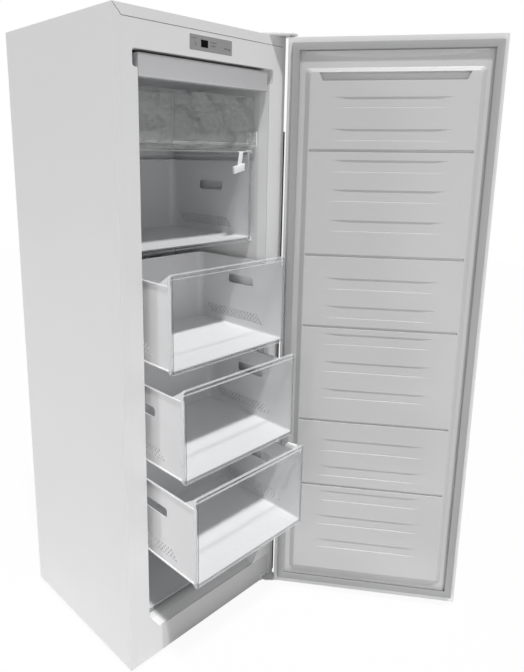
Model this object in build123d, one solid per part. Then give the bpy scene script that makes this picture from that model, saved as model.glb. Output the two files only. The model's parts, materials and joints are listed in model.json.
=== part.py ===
from build123d import *
import math
import os

# Upright freezer. Millimetres. The origin is the middle of the cabinet's footprint on the floor:
# +X is the viewer's right, +Y is towards the back, +Z is up. The door is drawn shut and then swung
# open about its hinge, and three drawers are drawn out, because that is how the freezer stands at rest.

# ---- cabinet ----
width = 595.0
casing_depth = 540.0
body_height = 1770.0
foot_height = 15.0
sheet = 0.8
flange = 25.0
rear_flange = 15.0
base_sheet = 1.2
frame_thickness = 3.0
liner_wall = 1.5
running_gap = 0.05
skin_gap = 0.3

half_width = width / 2
front_y = -casing_depth / 2
back_y = casing_depth / 2
top_z = foot_height + body_height
inside_x = half_width - sheet
drawn_height = 1770.0


def level(z):
    """Height of a feature that keeps its share of the body's height when that height changes."""
    return foot_height + (z - foot_height) * body_height / drawn_height



# ---- cavity ----
side_wall = 66.5
rear_wall = 63.0
roof = 92.0
cavity_half = half_width - side_wall
cavity_floor = 100.5
cavity_top = top_z - roof
cavity_back = back_y - rear_wall
corner_run = 35.0
corner_rise = 48.0
ear_half = cavity_half + 15.0
ear_low = cavity_top - 42.0
ear_depth = 30.0
ear_radius = 8.0
step_front = back_y - 250.0
step_top = 300.0
niche_front = back_y - 200.0
niche_top = 245.0
foam_back = back_y - 8.0

# ---- drawers ----
drawer_half = cavity_half - 16.0
drawer_front_y = front_y + 50.0
drawer_back_y = cavity_back - 57.0
low_drawer_back_y = step_front - 10.0
tub_wall = 2.5
tub_flange_height = 4.0
tub_floor_lift = 11.0
wall_drop = 28.0
front_wall = 3.0
front_return = 10.0
front_rim_height = 15.0
slot_length = 110.0
slot_start = 130.0
slot_low = 150.0
slot_high = 178.0
tub_rim_height = 4.0
gusset_length = 38.0
gusset_drop = 3.0
front_edge = 2.5
rim_shelf = 2.0
ledge_half = drawer_half - 12.0
ledge_nose = 5.0
ledge_root = 12.0
ledge_gap = 0.5
ledge_back_gap = 5.0
runner_width = 14.0
runner_clearance = 12.0
sloped_clearance = 5.0

# name: bottom of the front panel, height of the front panel, how far it stands out, back of the tub
drawers = {
    "drawer_2": (level(1192.7), 269.8, 0.0, drawer_back_y),
    "drawer_3": (level(901.0), 262.0, 142.0, drawer_back_y),
    "drawer_4": (level(616.5), 259.5, 190.0, drawer_back_y),
    "drawer_5": (level(339.5), 259.5, 236.0, drawer_back_y),
    "drawer_6": (112.5, 202.0, 0.0, low_drawer_back_y),
}

# ---- top compartment ----
shelf_low = level(1467.0)
shelf_high = shelf_low + 8.0
shelf_half = cavity_half - 4.0
shelf_front_y = drawer_front_y + 24.0
shelf_lip_height = 12.0
shelf_lip_depth = 4.0
flap_half = shelf_half - 6.0
flap_thickness = 3.0
flap_edge = 5.0
flap_low = shelf_high - 9.0
flap_high = cavity_top - 77.0
flap_pivot_y = drawer_front_y + 4.0
flap_pivot_z = shelf_high + 9.0
flap_pin_radius = 3.0
flap_bracket_sheet = 3.0
flap_bracket_height = 45.0

# ---- air duct, evaporator and fan ----
duct_half = cavity_half - 5.0
duct_low = cavity_top - 62.0
duct_high = cavity_top - 7.0
duct_front_y = front_y + 3.0
duct_depth = 27.0
duct_wall = 2.5
duct_plate_rise = 20.0
cover_front_y = cavity_back - 42.0
cover_thickness = 3.0
cover_half = cavity_half - 2.0
cover_high = cavity_top - 3.0
fin_count = 20
fin_thickness = 0.8
fin_half_span = cavity_half - 51.0
fin_front_y = cavity_back - 35.0
fin_back_y = cavity_back - 5.0
fin_low = level(1180.0)
fin_high = fin_low + 300.0
coil_overhang = 26.0
coil_bend = 20.0
coil_radius = 4.0
coil_passes = 6
heater_radius = 3.5
heater_drop = 20.0
heater_spread = 26.0
heater_bend = 12.0
fan_z = fin_high + 95.0
motor_radius = 26.0
motor_front_y = cavity_back - 23.0
motor_plate = 2.0
motor_plate_half = 40.0
motor_plate_rise = 35.0
shaft_radius = 2.0
shaft_front_y = cavity_back - 36.0
impeller_front_y = cavity_back - 34.5
impeller_back_y = cavity_back - 25.5
impeller_hub_radius = 15.0
impeller_radius = 44.0
blade_count = 7
blade_pitch = 35.0
blade_half = 12.0
blade_thickness = 2.0
blade_reach_y = 4.4

# ---- compressor space ----
compressor_x = 60.0
compressor_y = back_y - 105.0
compressor_radius = 76.0
compressor_low = 40.0
compressor_high = 190.0
compressor_round = 30.0
foot_plate_low = 34.0
foot_plate_thickness = 3.0
grommet_radius = 11.0
grommet_dx = 85.0
grommet_dy = 60.0
pipe_radius = 4.0
condenser_radius = 2.4
condenser_passes = 10
condenser_half = half_width - 97.5
condenser_top = top_z - 85.0
condenser_turn = 22.0
condenser_low = 300.0
condenser_end = 225.0
gap_middle_y = back_y - 4.8
drier_radius = 9.0

# ---- feet and rollers ----
foot_x = half_width - 47.5
foot_y = front_y + 35.0
stud_radius = 5.0
stud_top = 45.0
foot_disc_radius = 17.0
foot_disc_height = 8.0
foot_chamfer = 1.5
boss_radius = 10.0
boss_top = 30.0
roller_x = half_width - 42.5
roller_y = back_y - 35.0
roller_radius = 15.0
roller_half = 7.0
axle_radius = 3.0
bracket_half = 9.0
bracket_sheet = 1.5

# ---- door ----
gasket_gap = 12.0
door_thickness = 60.0
door_low = 20.0
door_high = top_z - 5.5
door_round = 6.0
top_cap_height = 18.0
bottom_cap_height = 25.0
cap_plate = 3.0
rim_return = 14.0
gasket_out = half_width - 12.0
gasket_width = 23.0
gasket_low = door_low + 19.0
gasket_high = door_high - 14.5
gasket_thickness = 11.5
gasket_foot = 4.0
gasket_waist_inset = 6.0
gasket_head_inset = 1.0
panel_proud = 11.0
panel_base_half = half_width - 51.5
panel_base_low = gasket_low + 47.0
panel_base_high = gasket_high - 70.0
panel_base_round = 12.0
panel_face_half = panel_base_half - 14.5
panel_face_low = panel_base_low + 11.0
panel_face_high = panel_base_high - 11.0
panel_face_round = 8.0
recess_half = panel_face_half - 25.5
recess_low = panel_face_high - 24.0
recess_high = panel_face_high - 1.5
recess_depth = 11.0
groove_levels = tuple(level(z) for z in (1467.0, 1160.0, 938.0, 628.0, 403.0))
groove_height = 9.0
groove_depth = 4.5
band_half = panel_face_half - 66.5
band_places = (
    (1586.0, 30.0), (1495.0, 33.0), (1406.0, 35.0), (1321.0, 35.0), (1233.0, 34.0), (1057.0, 35.0),
    (967.0, 38.0), (882.0, 35.0), (793.0, 34.0), (706.0, 30.0), (524.0, 41.0), (437.0, 35.0),
    (348.0, 36.0), (261.0, 33.0), (176.5, 29.5),
)
band_depth = 2.5

# ---- hinges ----
hinge_x = half_width - 8.9
hinge_y = front_y - 31.1
door_open_angle = 125.83
pin_radius = 4.0
bush_radius = 7.0
bush_flange_radius = 9.0
bush_flange = 1.5
bush_depth = 16.0
bracket_plate = 3.0
lower_plate_rise = 21.0
hinge_cover_height = 11.0
hinge_cover_wall = 2.0
lid_round = 10.0
lid_edge_round = 3.0
screw_shank_radius = 2.5
screw_head_radius = 5.0
screw_head_height = 2.5
screw_length = 18.0
screw_hole_radius = 2.8

# ---- control panel ----
control_left = -70.9
control_right = 77.7
control_low = top_z - 75.0
control_high = top_z - 37.0
control_plate = 1.5
control_round = 3.0
control_ledge = 4.0
display_left = -32.5
display_right = -8.5
display_low = control_low + 10.0
display_high = control_low + 27.0
button_radius = 3.5
button_z = control_low + 19.5
button_left_x = -50.0
button_right_x = 12.5
button_proud = 1.5
button_collar = 1.5
button_collar_gap = 0.1
button_stem = 6.5
button_stem_radius = 1.5
switch_half = 3.0
board_thickness = 1.6
pocket_depth = 20.0
switch_front = 7.7
board_gap = 12.0

door_inner_y = front_y - gasket_gap
door_outer_y = door_inner_y - door_thickness


def block(x0, x1, y0, y1, z0, z1):
    """Box given by the places of its six faces."""
    return Pos((x0 + x1) / 2, (y0 + y1) / 2, (z0 + z1) / 2) * Box(x1 - x0, y1 - y0, z1 - z0)


def along_x(sketch, x0, x1):
    """Outline in Y and Z, drawn out from x0 to x1."""
    return extrude(Plane.YZ.offset(x0) * sketch, x1 - x0, dir=(1, 0, 0))


def along_y(sketch, y0, y1):
    """Outline in X and Z, drawn out from y0 to y1."""
    return extrude(Plane.XZ.offset(-y1) * sketch, y1 - y0, dir=(0, -1, 0))


def along_z(sketch, z0, z1):
    """Outline in X and Y, drawn out from z0 to z1."""
    return extrude(Plane.XY.offset(z0) * sketch, z1 - z0, dir=(0, 0, 1))


def post(x, y, z0, z1, radius):
    """Upright cylinder."""
    return along_z(Pos(x, y) * Circle(radius), z0, z1)


def shaft_y(x, z, y0, y1, radius):
    """Cylinder lying front to back."""
    return along_y(Pos(x, z) * Circle(radius), y0, y1)


def shaft_x(y, z, x0, x1, radius):
    """Cylinder lying side to side."""
    return along_x(Pos(y, z) * Circle(radius), x0, x1)


def outline(*points):
    """Straight-sided outline through the given points."""
    return Polygon(*points, align=None)


def grown(sketch, amount):
    """The outline moved outwards with its corners kept sharp."""
    return offset(sketch, amount, kind=Kind.INTERSECTION)


def tube_along(points, bend, radius):
    """Round rod bent along a row of points."""
    path = FilletPolyline(*points, radius=bend)
    start = Plane(path @ 0, z_dir=path % 0)
    return sweep(start * Circle(radius), path=path)


def mirrored(shape):
    """The same shape on the other side of the cabinet's middle."""
    return mirror(shape, about=Plane.YZ)


def save(node, *shapes):
    """Write one node, made of one or more solids."""
    solids = [solid for shape in shapes for solid in shape.solids()]
    whole = solids[0] if len(solids) == 1 else Compound(children=solids)
    export_step(whole, f"parts/{node}.step")
    print(node, len(solids), "solids", round(sum(solid.volume for solid in solids)))


os.makedirs("parts", exist_ok=True)

# ---------------------------------------------------------------- cavity and liner

cavity_outline = outline(
    (-cavity_half, cavity_top),
    (-cavity_half, cavity_floor + corner_rise),
    (-cavity_half + corner_run, cavity_floor),
    (cavity_half - corner_run, cavity_floor),
    (cavity_half, cavity_floor + corner_rise),
    (cavity_half, cavity_top),
)
ear_outline = outline(
    (-ear_half, ear_low), (ear_half, ear_low), (ear_half, cavity_top), (-ear_half, cavity_top)
)
frame_back_y = front_y + frame_thickness


def cavity(extra):
    """Space inside the liner, made larger all round by extra."""
    room = along_y(grown(cavity_outline, extra), frame_back_y, cavity_back + extra)
    room += along_y(grown(ear_outline, extra), frame_back_y, front_y + ear_depth + extra)
    step = block(-half_width, half_width, step_front + extra, back_y, 0, step_top - extra)
    return room - step


drain_x = 0.0
drain_y = cavity_back - 19.0
drain_bore = 6.5
drain_outer = 8.0
drain_low = 216.0
drain_flange = 1.5
drain_flange_radius = 12.0
drain_hole = post(drain_x, drain_y, niche_top - 10, step_top + 5, drain_outer + skin_gap)

liner_inside = cavity(0)
liner_outside = cavity(liner_wall)
inner_liner = liner_outside - liner_inside - drain_hole

# ---------------------------------------------------------------- casing

mitre = outline(
    (-half_width, top_z),
    (-half_width + flange, top_z - flange),
    (half_width - flange, top_z - flange),
    (half_width, top_z),
)
side_rear_y = back_y - sheet
side_outline = outline(
    (-half_width, front_y),
    (-half_width + flange, front_y),
    (-half_width + flange, front_y + sheet),
    (-half_width + sheet, front_y + sheet),
    (-half_width + sheet, side_rear_y - sheet),
    (-half_width + rear_flange, side_rear_y - sheet),
    (-half_width + rear_flange, side_rear_y),
    (-half_width, side_rear_y),
)
side_panel_left = along_z(side_outline, foot_height, top_z - sheet)
side_panel_left -= along_y(mitre, front_y, front_y + sheet)
side_panel_right = mirrored(side_panel_left)

top_cover = block(-half_width, half_width, front_y, back_y, top_z - sheet, top_z)
top_cover += along_y(mitre, front_y, front_y + sheet)

back_panel = block(-half_width, half_width, side_rear_y, back_y, niche_top, top_z - sheet)

# The base plate rises behind the storage space to make the wall and ceiling of the compressor space.
flange_x = half_width - flange
base_low = foot_height
base_top = base_low + base_sheet
frame_low = foot_height + flange
frame_high = top_z - flange
base_outline = outline(
    (front_y, base_low),
    (side_rear_y - sheet, base_low),
    (side_rear_y - sheet, base_top),
    (niche_front, base_top),
    (niche_front, niche_top),
    (foam_back, niche_top),
    (foam_back, niche_top + base_sheet),
    (niche_front - base_sheet, niche_top + base_sheet),
    (niche_front - base_sheet, base_top),
    (front_y + sheet, base_top),
    (front_y + sheet, frame_low),
    (front_y, frame_low),
)
base_pan = along_x(base_outline, -flange_x, flange_x)
base_side = outline(
    (front_y + sheet, base_low),
    (side_rear_y - sheet, base_low),
    (side_rear_y - sheet, base_top),
    (niche_front, base_top),
    (niche_front, niche_top),
    (foam_back, niche_top),
    (foam_back, niche_top + base_sheet),
    (niche_front - base_sheet, niche_top + base_sheet),
    (niche_front - base_sheet, base_top),
    (front_y + sheet, base_top),
)
base_pan += along_x(base_side, -inside_x, inside_x)
wheel_room = roller_radius + 2
axle_bracket_low = roller_radius - 8
axle_bracket_high = roller_radius + 22
for side in (-1, 1):
    base_pan += post(side * foot_x, foot_y, base_top, boss_top, boss_radius)
    base_pan -= post(side * foot_x, foot_y, 0, boss_top + 1, stud_radius + running_gap)
    middle = side * roller_x
    base_pan -= block(middle - bracket_half, middle + bracket_half, roller_y - wheel_room,
                      roller_y + wheel_room, 0, niche_front)
    for edge in (-1, 1):
        near = middle + edge * bracket_half
        far = near + edge * bracket_sheet
        base_pan += block(min(near, far), max(near, far), roller_y - wheel_room, roller_y + wheel_room,
                          axle_bracket_low, axle_bracket_high)
    base_pan += shaft_x(roller_y, roller_radius, middle - bracket_half, middle + bracket_half, axle_radius)
base_pan -= drain_hole
grommet_stud_top = foot_plate_low - 4
for dx in (-grommet_dx, grommet_dx):
    for dy in (-grommet_dy, grommet_dy):
        base_pan += post(compressor_x + dx, compressor_y + dy, base_top, grommet_stud_top, axle_radius)

front_frame = block(-flange_x, flange_x, front_y, frame_back_y, frame_low, frame_high)
front_opening = along_y(cavity_outline, front_y, frame_back_y)
ear_round = Pos(0, (ear_low + cavity_top) / 2) * RectangleRounded(
    2 * ear_half, cavity_top - ear_low, ear_radius
)
front_opening += along_y(ear_round, front_y, frame_back_y)
control_middle_x = (control_left + control_right) / 2
control_middle_z = (control_low + control_high) / 2
control_width = control_right - control_left
control_height = control_high - control_low
pocket_half = control_width / 2 - control_ledge
pocket_rise = control_height / 2 - control_ledge
pocket_back_y = frame_back_y + pocket_depth
control_pocket = block(control_middle_x - pocket_half, control_middle_x + pocket_half, front_y,
                       pocket_back_y, control_middle_z - pocket_rise, control_middle_z + pocket_rise)
panel_face = RectangleRounded(control_width, control_height, control_round)
panel_place = Pos(control_middle_x, control_middle_z)
control_panel = along_y(panel_place * panel_face, front_y, front_y + control_plate)
front_frame -= front_opening
front_frame -= control_pocket
front_frame -= control_panel

# Foam fills everything between the casing, the frame, the liner and the base.
stud_room = 4.0
foam = block(-inside_x, inside_x, front_y + sheet, foam_back, base_top, top_z - sheet)
foam -= block(-flange_x, flange_x, front_y, frame_back_y, frame_low, frame_high)
foam -= block(-inside_x, inside_x, niche_front - base_sheet, back_y, 0, niche_top + base_sheet)
foam -= liner_outside
foam -= control_pocket
foam -= drain_hole
for side in (-1, 1):
    foam -= post(side * foot_x, foot_y, 0, stud_top + stud_room, boss_radius + skin_gap)

rear_grille = block(-half_width, half_width, side_rear_y, back_y, foot_height, niche_top)
grille_rows = 9
grille_columns = 6
grille_slot = 60.0
grille_slot_height = 5.0
grille_pitch_x = 80.0
grille_pitch_z = 14.0
grille_top_z = niche_top - 45
for row in range(grille_rows):
    for column in range(grille_columns):
        slot_x = (column - (grille_columns - 1) / 2) * grille_pitch_x
        slot_z = grille_top_z - row * grille_pitch_z
        rear_grille -= block(slot_x - grille_slot / 2, slot_x + grille_slot / 2, side_rear_y - 1,
                             back_y + 1, slot_z, slot_z + grille_slot_height)
gland_x = -half_width + 57.5
gland_z = 60.0
gland_hole_radius = 9.0
gland_neck = 4.0
gland_head = 2.0
gland_head_radius = 13.0
rear_grille -= shaft_y(gland_x, gland_z, side_rear_y - 1, back_y + 1, gland_hole_radius)
cord_gland = shaft_y(gland_x, gland_z, side_rear_y - gland_neck, back_y, gland_hole_radius - skin_gap)
cord_gland += shaft_y(gland_x, gland_z, back_y, back_y + gland_head, gland_head_radius)

# ---------------------------------------------------------------- control panel


def pocket_block(inset, y0, y1):
    """Block that fills the pocket behind the panel, less a gap all round."""
    return block(control_middle_x - pocket_half + inset, control_middle_x + pocket_half - inset, y0, y1,
                 control_middle_z - pocket_rise + inset, control_middle_z + pocket_rise - inset)


tray_gap = 1.0
tray_wall = 1.5
plate_back_y = front_y + control_plate
board_front_y = front_y + board_gap
tray_back_y = pocket_back_y - tray_gap
control_panel += pocket_block(tray_gap, plate_back_y, tray_back_y)
control_panel -= pocket_block(tray_gap + tray_wall, plate_back_y, tray_back_y - tray_wall)
control_panel -= block(display_left, display_right, front_y, plate_back_y, display_low, display_high)
display_window = block(display_left, display_right, front_y, plate_back_y, display_low, display_high)
control_board = pocket_block(tray_gap + tray_wall, board_front_y, board_front_y + board_thickness)
control_board += block(display_left, display_right, plate_back_y, board_front_y, display_low, display_high)
buttons = {}
collar_front_y = plate_back_y + button_collar_gap
collar_back_y = plate_back_y + 1
collar_radius = button_radius + button_collar
for name, button_x in (("control_button_left", button_left_x), ("control_button_right", button_right_x)):
    control_panel -= shaft_y(button_x, button_z, front_y, plate_back_y, button_radius + running_gap)
    button = shaft_y(button_x, button_z, front_y - button_proud, collar_back_y, button_radius)
    button += shaft_y(button_x, button_z, collar_front_y, collar_back_y, collar_radius)
    button += shaft_y(button_x, button_z, collar_back_y, front_y + button_stem, button_stem_radius)
    buttons[name] = button
    control_board += block(button_x - switch_half, button_x + switch_half, front_y + switch_front,
                           board_front_y, button_z - switch_half, button_z + switch_half)

# ---------------------------------------------------------------- air duct, cover, evaporator, fan

duct_back_y = duct_front_y + duct_depth
top_air_duct = block(-duct_half, duct_half, duct_front_y, duct_back_y, duct_low, duct_high)
top_air_duct -= block(-duct_half + duct_wall, duct_half - duct_wall, duct_front_y + duct_wall,
                      duct_back_y, duct_low + duct_wall, duct_high - duct_wall)
plate_low = duct_low + duct_plate_rise
top_air_duct += block(-duct_half, duct_half, duct_back_y, cover_front_y, plate_low, plate_low + duct_wall)
for side in (-1, 1):
    lip = sorted((side * duct_half, side * (duct_half - duct_wall)))
    top_air_duct += block(lip[0], lip[1], duct_back_y, cover_front_y, plate_low, duct_high)
outlet_count = 9
outlet_pitch = 44.0
outlet_half = 14.0
outlet_front_y = duct_back_y - 12
outlet_back_y = duct_back_y - 6
for index in range(outlet_count):
    outlet_x = (index - (outlet_count - 1) / 2) * outlet_pitch
    top_air_duct -= block(outlet_x - outlet_half, outlet_x + outlet_half, outlet_front_y, outlet_back_y,
                          duct_low - 1, duct_low + duct_wall + 1)

cover_back_y = cover_front_y + cover_thickness
evaporator_cover = block(-cover_half, cover_half, cover_front_y, cover_back_y, step_top, cover_high)
for side in (-1, 1):
    lip = sorted((side * cover_half, side * (cover_half - cover_thickness)))
    evaporator_cover += block(lip[0], lip[1], cover_back_y, cavity_back, step_top, cover_high)
air_slot_levels = tuple(level(z) for z in (520.0, 810.0, 1100.0, 1390.0))
air_slot_rows = 3
air_slot_columns = 5
air_slot_pitch_x = 70.0
air_slot_pitch_z = 14.0
air_slot_half = 25.0
air_slot_height = 6.0
for lowest in air_slot_levels:
    for row in range(air_slot_rows):
        for column in range(air_slot_columns):
            slot_x = (column - (air_slot_columns - 1) / 2) * air_slot_pitch_x
            slot_z = lowest + row * air_slot_pitch_z
            evaporator_cover -= block(slot_x - air_slot_half, slot_x + air_slot_half, cover_front_y - 1,
                                      cover_back_y + 1, slot_z, slot_z + air_slot_height)
fan_slot_rows = 7
fan_slot_pitch = 12.0
for row in range(fan_slot_rows):
    rise = (row - (fan_slot_rows - 1) / 2) * fan_slot_pitch
    reach = math.sqrt(impeller_radius ** 2 - rise ** 2)
    slot_z = fan_z + rise
    evaporator_cover -= block(-reach, reach, cover_front_y - 1, cover_back_y + 1,
                              slot_z - air_slot_height / 2, slot_z + air_slot_height / 2)

coil_margin = 20.0
pass_step = (fin_high - fin_low - 2 * coil_margin) / (coil_passes - 1)
coil_middle_y = (fin_front_y + fin_back_y) / 2
coil_reach = fin_half_span + coil_overhang
coil_points = []
for index in range(coil_passes):
    pass_z = fin_low + coil_margin + index * pass_step
    ends = (-coil_reach, coil_reach) if index % 2 == 0 else (coil_reach, -coil_reach)
    coil_points.append((ends[0], coil_middle_y, pass_z))
    coil_points.append((ends[1], coil_middle_y, pass_z))
evaporator = tube_along(coil_points, coil_bend, coil_radius)
for index in range(fin_count):
    fin_x = -fin_half_span + index * 2 * fin_half_span / (fin_count - 1)
    evaporator += block(fin_x - fin_thickness / 2, fin_x + fin_thickness / 2, fin_front_y, fin_back_y,
                        fin_low, fin_high)

heater_high = fin_low - heater_drop
heater_low = heater_high - heater_spread
defrost_heater = tube_along(
    [
        (-fin_half_span, coil_middle_y, heater_high),
        (fin_half_span, coil_middle_y, heater_high),
        (fin_half_span, coil_middle_y, heater_low),
        (-fin_half_span, coil_middle_y, heater_low),
    ],
    heater_bend,
    heater_radius,
)

fan_motor = shaft_y(0, fan_z, motor_front_y, cavity_back - motor_plate, motor_radius)
fan_motor += block(-motor_plate_half, motor_plate_half, cavity_back - motor_plate, cavity_back,
                   fan_z - motor_plate_rise, fan_z + motor_plate_rise)
fan_motor += shaft_y(0, fan_z, shaft_front_y, motor_front_y, shaft_radius)
fan_impeller = shaft_y(0, fan_z, impeller_front_y, impeller_back_y, impeller_hub_radius)
blade = block(impeller_hub_radius - 2, impeller_radius, -blade_thickness / 2, blade_thickness / 2,
              -blade_half, blade_half)
blade = Rot(blade_pitch, 0, 0) * blade
blade &= block(0, impeller_radius, -blade_reach_y, blade_reach_y, -blade_half, blade_half)
for index in range(blade_count):
    turned = Rot(0, index * 360 / blade_count, 0) * blade
    fan_impeller += Pos(0, (impeller_front_y + impeller_back_y) / 2, fan_z) * turned
fan_impeller -= shaft_y(0, fan_z, impeller_front_y - 1, impeller_back_y + 1, shaft_radius + running_gap)

drain_tube = post(drain_x, drain_y, drain_low, step_top, drain_outer)
drain_tube += post(drain_x, drain_y, step_top, step_top + drain_flange, drain_flange_radius)
drain_tube -= post(drain_x, drain_y, drain_low, step_top + drain_flange, drain_bore)

# ---------------------------------------------------------------- compressor space

shell = Cylinder(compressor_radius, compressor_high - compressor_low)
shell = fillet(shell.edges().filter_by(GeomType.CIRCLE), compressor_round)
compressor = Pos(compressor_x, compressor_y, (compressor_low + compressor_high) / 2) * shell
plate_reach_x = grommet_dx + 16
plate_reach_y = grommet_dy + 14
compressor += block(compressor_x - plate_reach_x, compressor_x + plate_reach_x,
                    compressor_y - plate_reach_y, compressor_y + plate_reach_y,
                    foot_plate_low, foot_plate_low + foot_plate_thickness)
neck_radius = 50.0
compressor += post(compressor_x, compressor_y, foot_plate_low, compressor_low + 40, neck_radius)
tray_floor = 205.0
tray_post_radius = 24.0
compressor += post(compressor_x, compressor_y, compressor_high - 10, tray_floor, tray_post_radius)
relay_x = compressor_x - compressor_radius - 8
terminal_half = 26.0
terminal_low = 95.0
terminal_high = 150.0
compressor += block(relay_x, compressor_x, compressor_y - terminal_half, compressor_y + terminal_half,
                    terminal_low, terminal_high)
stub_x = relay_x - 12
stub_level = 75.0
front_stub_y = compressor_y - 30
rear_stub_y = compressor_y + 30
for stub_y in (front_stub_y, rear_stub_y):
    compressor += shaft_x(stub_y, stub_level, stub_x, compressor_x, pipe_radius)
compressor_grommets = []
for dx in (-grommet_dx, grommet_dx):
    for dy in (-grommet_dy, grommet_dy):
        place_x = compressor_x + dx
        place_y = compressor_y + dy
        grommet = post(place_x, place_y, base_top, foot_plate_low, grommet_radius)
        grommet -= post(place_x, place_y, base_top, foot_plate_low, axle_radius + skin_gap)
        compressor_grommets.append(grommet)
relay_half = terminal_half - 2
relay_depth = 26.0
start_relay = block(relay_x - relay_depth, relay_x, compressor_y - relay_half, compressor_y + relay_half,
                    terminal_low + 2, terminal_high - 2)

tray_half = 90.0
tray_front_y = compressor_y - 50
tray_rear_y = compressor_y + 80
tray_top = tray_floor + 24
drip_tray_wall = 2.0
drip_tray = block(-tray_half, tray_half, tray_front_y, tray_rear_y, tray_floor, tray_top)
drip_tray -= block(-tray_half + drip_tray_wall, tray_half - drip_tray_wall, tray_front_y + drip_tray_wall,
                   tray_rear_y - drip_tray_wall, tray_floor + drip_tray_wall, tray_top)

drier_x = condenser_half
drier_y = back_y - 35.0
drier_low = 90.0
drier_high = 150.0
filter_drier = post(drier_x, drier_y, drier_low, drier_high, drier_radius)

pipe_bend = 8.0
suction_x = -130.0
suction_bend = 15.0
rise_y = gap_middle_y - 20
rise_start = condenser_end - 45
rise_end = condenser_end - 25
liquid_start = condenser_end - 20
liquid_end = condenser_end - 50
capillary_level = 60.0
capillary_y = drier_y - 60
capillary_bend = 12.0
capillary_radius = 1.5
discharge_pipe = tube_along(
    [
        (stub_x, front_stub_y, stub_level),
        (-condenser_half, front_stub_y, stub_level),
        (-condenser_half, rise_y, stub_level),
        (-condenser_half, rise_y, rise_start),
        (-condenser_half, gap_middle_y, rise_end),
        (-condenser_half, gap_middle_y, condenser_end),
    ],
    pipe_bend,
    condenser_radius,
)
suction_pipe = tube_along(
    [
        (stub_x, rear_stub_y, stub_level),
        (suction_x, rear_stub_y, stub_level),
        (suction_x, rear_stub_y, niche_top),
    ],
    suction_bend,
    pipe_radius,
)
liquid_pipe = tube_along(
    [
        (condenser_half, gap_middle_y, condenser_end),
        (condenser_half, gap_middle_y, liquid_start),
        (condenser_half, drier_y, liquid_end),
        (drier_x, drier_y, drier_high),
    ],
    pipe_bend,
    condenser_radius,
)
capillary = tube_along(
    [
        (drier_x, drier_y, drier_low),
        (drier_x, drier_y, capillary_level),
        (drier_x, capillary_y, capillary_level),
        (drier_x, capillary_y, niche_top),
    ],
    capillary_bend,
    capillary_radius,
)

condenser_points = []
for index in range(condenser_passes):
    place_x = -condenser_half + index * 2 * condenser_half / (condenser_passes - 1)
    first = condenser_end if index == 0 else condenser_low
    last = condenser_end if index == condenser_passes - 1 else condenser_low
    if index % 2 == 0:
        condenser_points.append((place_x, gap_middle_y, first))
        condenser_points.append((place_x, gap_middle_y, condenser_top))
    else:
        condenser_points.append((place_x, gap_middle_y, condenser_top))
        condenser_points.append((place_x, gap_middle_y, last))
condenser_coil = tube_along(condenser_points, condenser_turn, condenser_radius)

# ---------------------------------------------------------------- feet and rollers

feet = {}
rollers = {}
for name, side in (("left", -1), ("right", 1)):
    foot = post(side * foot_x, foot_y, 0, foot_disc_height, foot_disc_radius)
    foot += post(side * foot_x, foot_y, foot_disc_height, stud_top, stud_radius)
    feet[name] = chamfer(foot.edges().group_by(Axis.Z)[0], foot_chamfer)
    middle = side * roller_x
    roller = shaft_x(roller_y, roller_radius, middle - roller_half, middle + roller_half, roller_radius)
    roller -= shaft_x(roller_y, roller_radius, middle - roller_half, middle + roller_half,
                      axle_radius + running_gap)
    rollers[name] = roller

# ---------------------------------------------------------------- drawers and their rails


def corner_cut(extra, y0, y1):
    """Room taken by the liner's sloped bottom corners, for pieces that stay clear of them."""
    wedge = outline(
        (-cavity_half, cavity_floor),
        (-cavity_half + corner_run + extra, cavity_floor),
        (-cavity_half + extra, cavity_floor + corner_rise),
        (-cavity_half, cavity_floor + corner_rise),
    )
    left = along_y(wedge, y0, y1)
    return left + mirrored(left)


tubs = {}
fronts = {}
ledges = []
for name, (low, height, out, back) in drawers.items():
    front = drawer_front_y - out
    rear = back - out
    floor = low + tub_floor_lift
    wall_top = low + height - wall_drop
    wall_half = drawer_half - front_wall
    tub = block(-wall_half, wall_half, front + front_wall, rear, floor, wall_top)
    tub -= block(-wall_half + tub_wall, wall_half - tub_wall, front + front_wall, rear - tub_wall,
                 floor + tub_wall, wall_top)
    lip_half = wall_half + front_wall
    lip_front = front + front_return
    rim = block(-lip_half, lip_half, lip_front, rear, wall_top - tub_rim_height, wall_top)
    rim += block(-lip_half, lip_half, lip_front, rear, floor, floor + tub_flange_height)
    rim -= block(-wall_half + tub_wall, wall_half - tub_wall, lip_front, rear - tub_wall, floor - 1,
                 wall_top + 1)
    tub += rim
    gusset = outline(
        (lip_front, wall_top),
        (lip_front + gusset_length, wall_top),
        (lip_front, low + height - gusset_drop),
    )
    gusset_left = along_x(gusset, -wall_half, -wall_half + tub_wall)
    tub += gusset_left
    tub += mirrored(gusset_left)
    for side in (-1, 1):
        cut = sorted((side * (wall_half - tub_wall - 1), side * (wall_half + 1)))
        if slot_start + slot_length < rear - front:
            tub -= block(cut[0], cut[1], front + slot_start, front + slot_start + slot_length,
                         low + slot_low, low + slot_high)
    high = low + height
    rim_low = high - front_rim_height
    panel = block(-drawer_half, drawer_half, front, lip_front, low, high)
    panel -= block(-wall_half, wall_half, front + front_wall, lip_front, low + front_edge,
                   high - front_edge)
    panel += block(-wall_half, wall_half, front + front_wall, lip_front, rim_low, rim_low + rim_shelf)
    if low < step_top:
        sloped = corner_cut(sloped_clearance + tub_wall, front + front_wall, rear)
        tub += sloped & block(-wall_half, wall_half, front + front_wall, rear, floor, wall_top)
        tub -= corner_cut(sloped_clearance, front, rear)
        panel -= corner_cut(sloped_clearance, front, rear)
    tubs[name] = tub
    fronts[name] = panel
    if low > step_top:
        ledges.append((floor - ledge_gap, back - ledge_back_gap))

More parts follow.
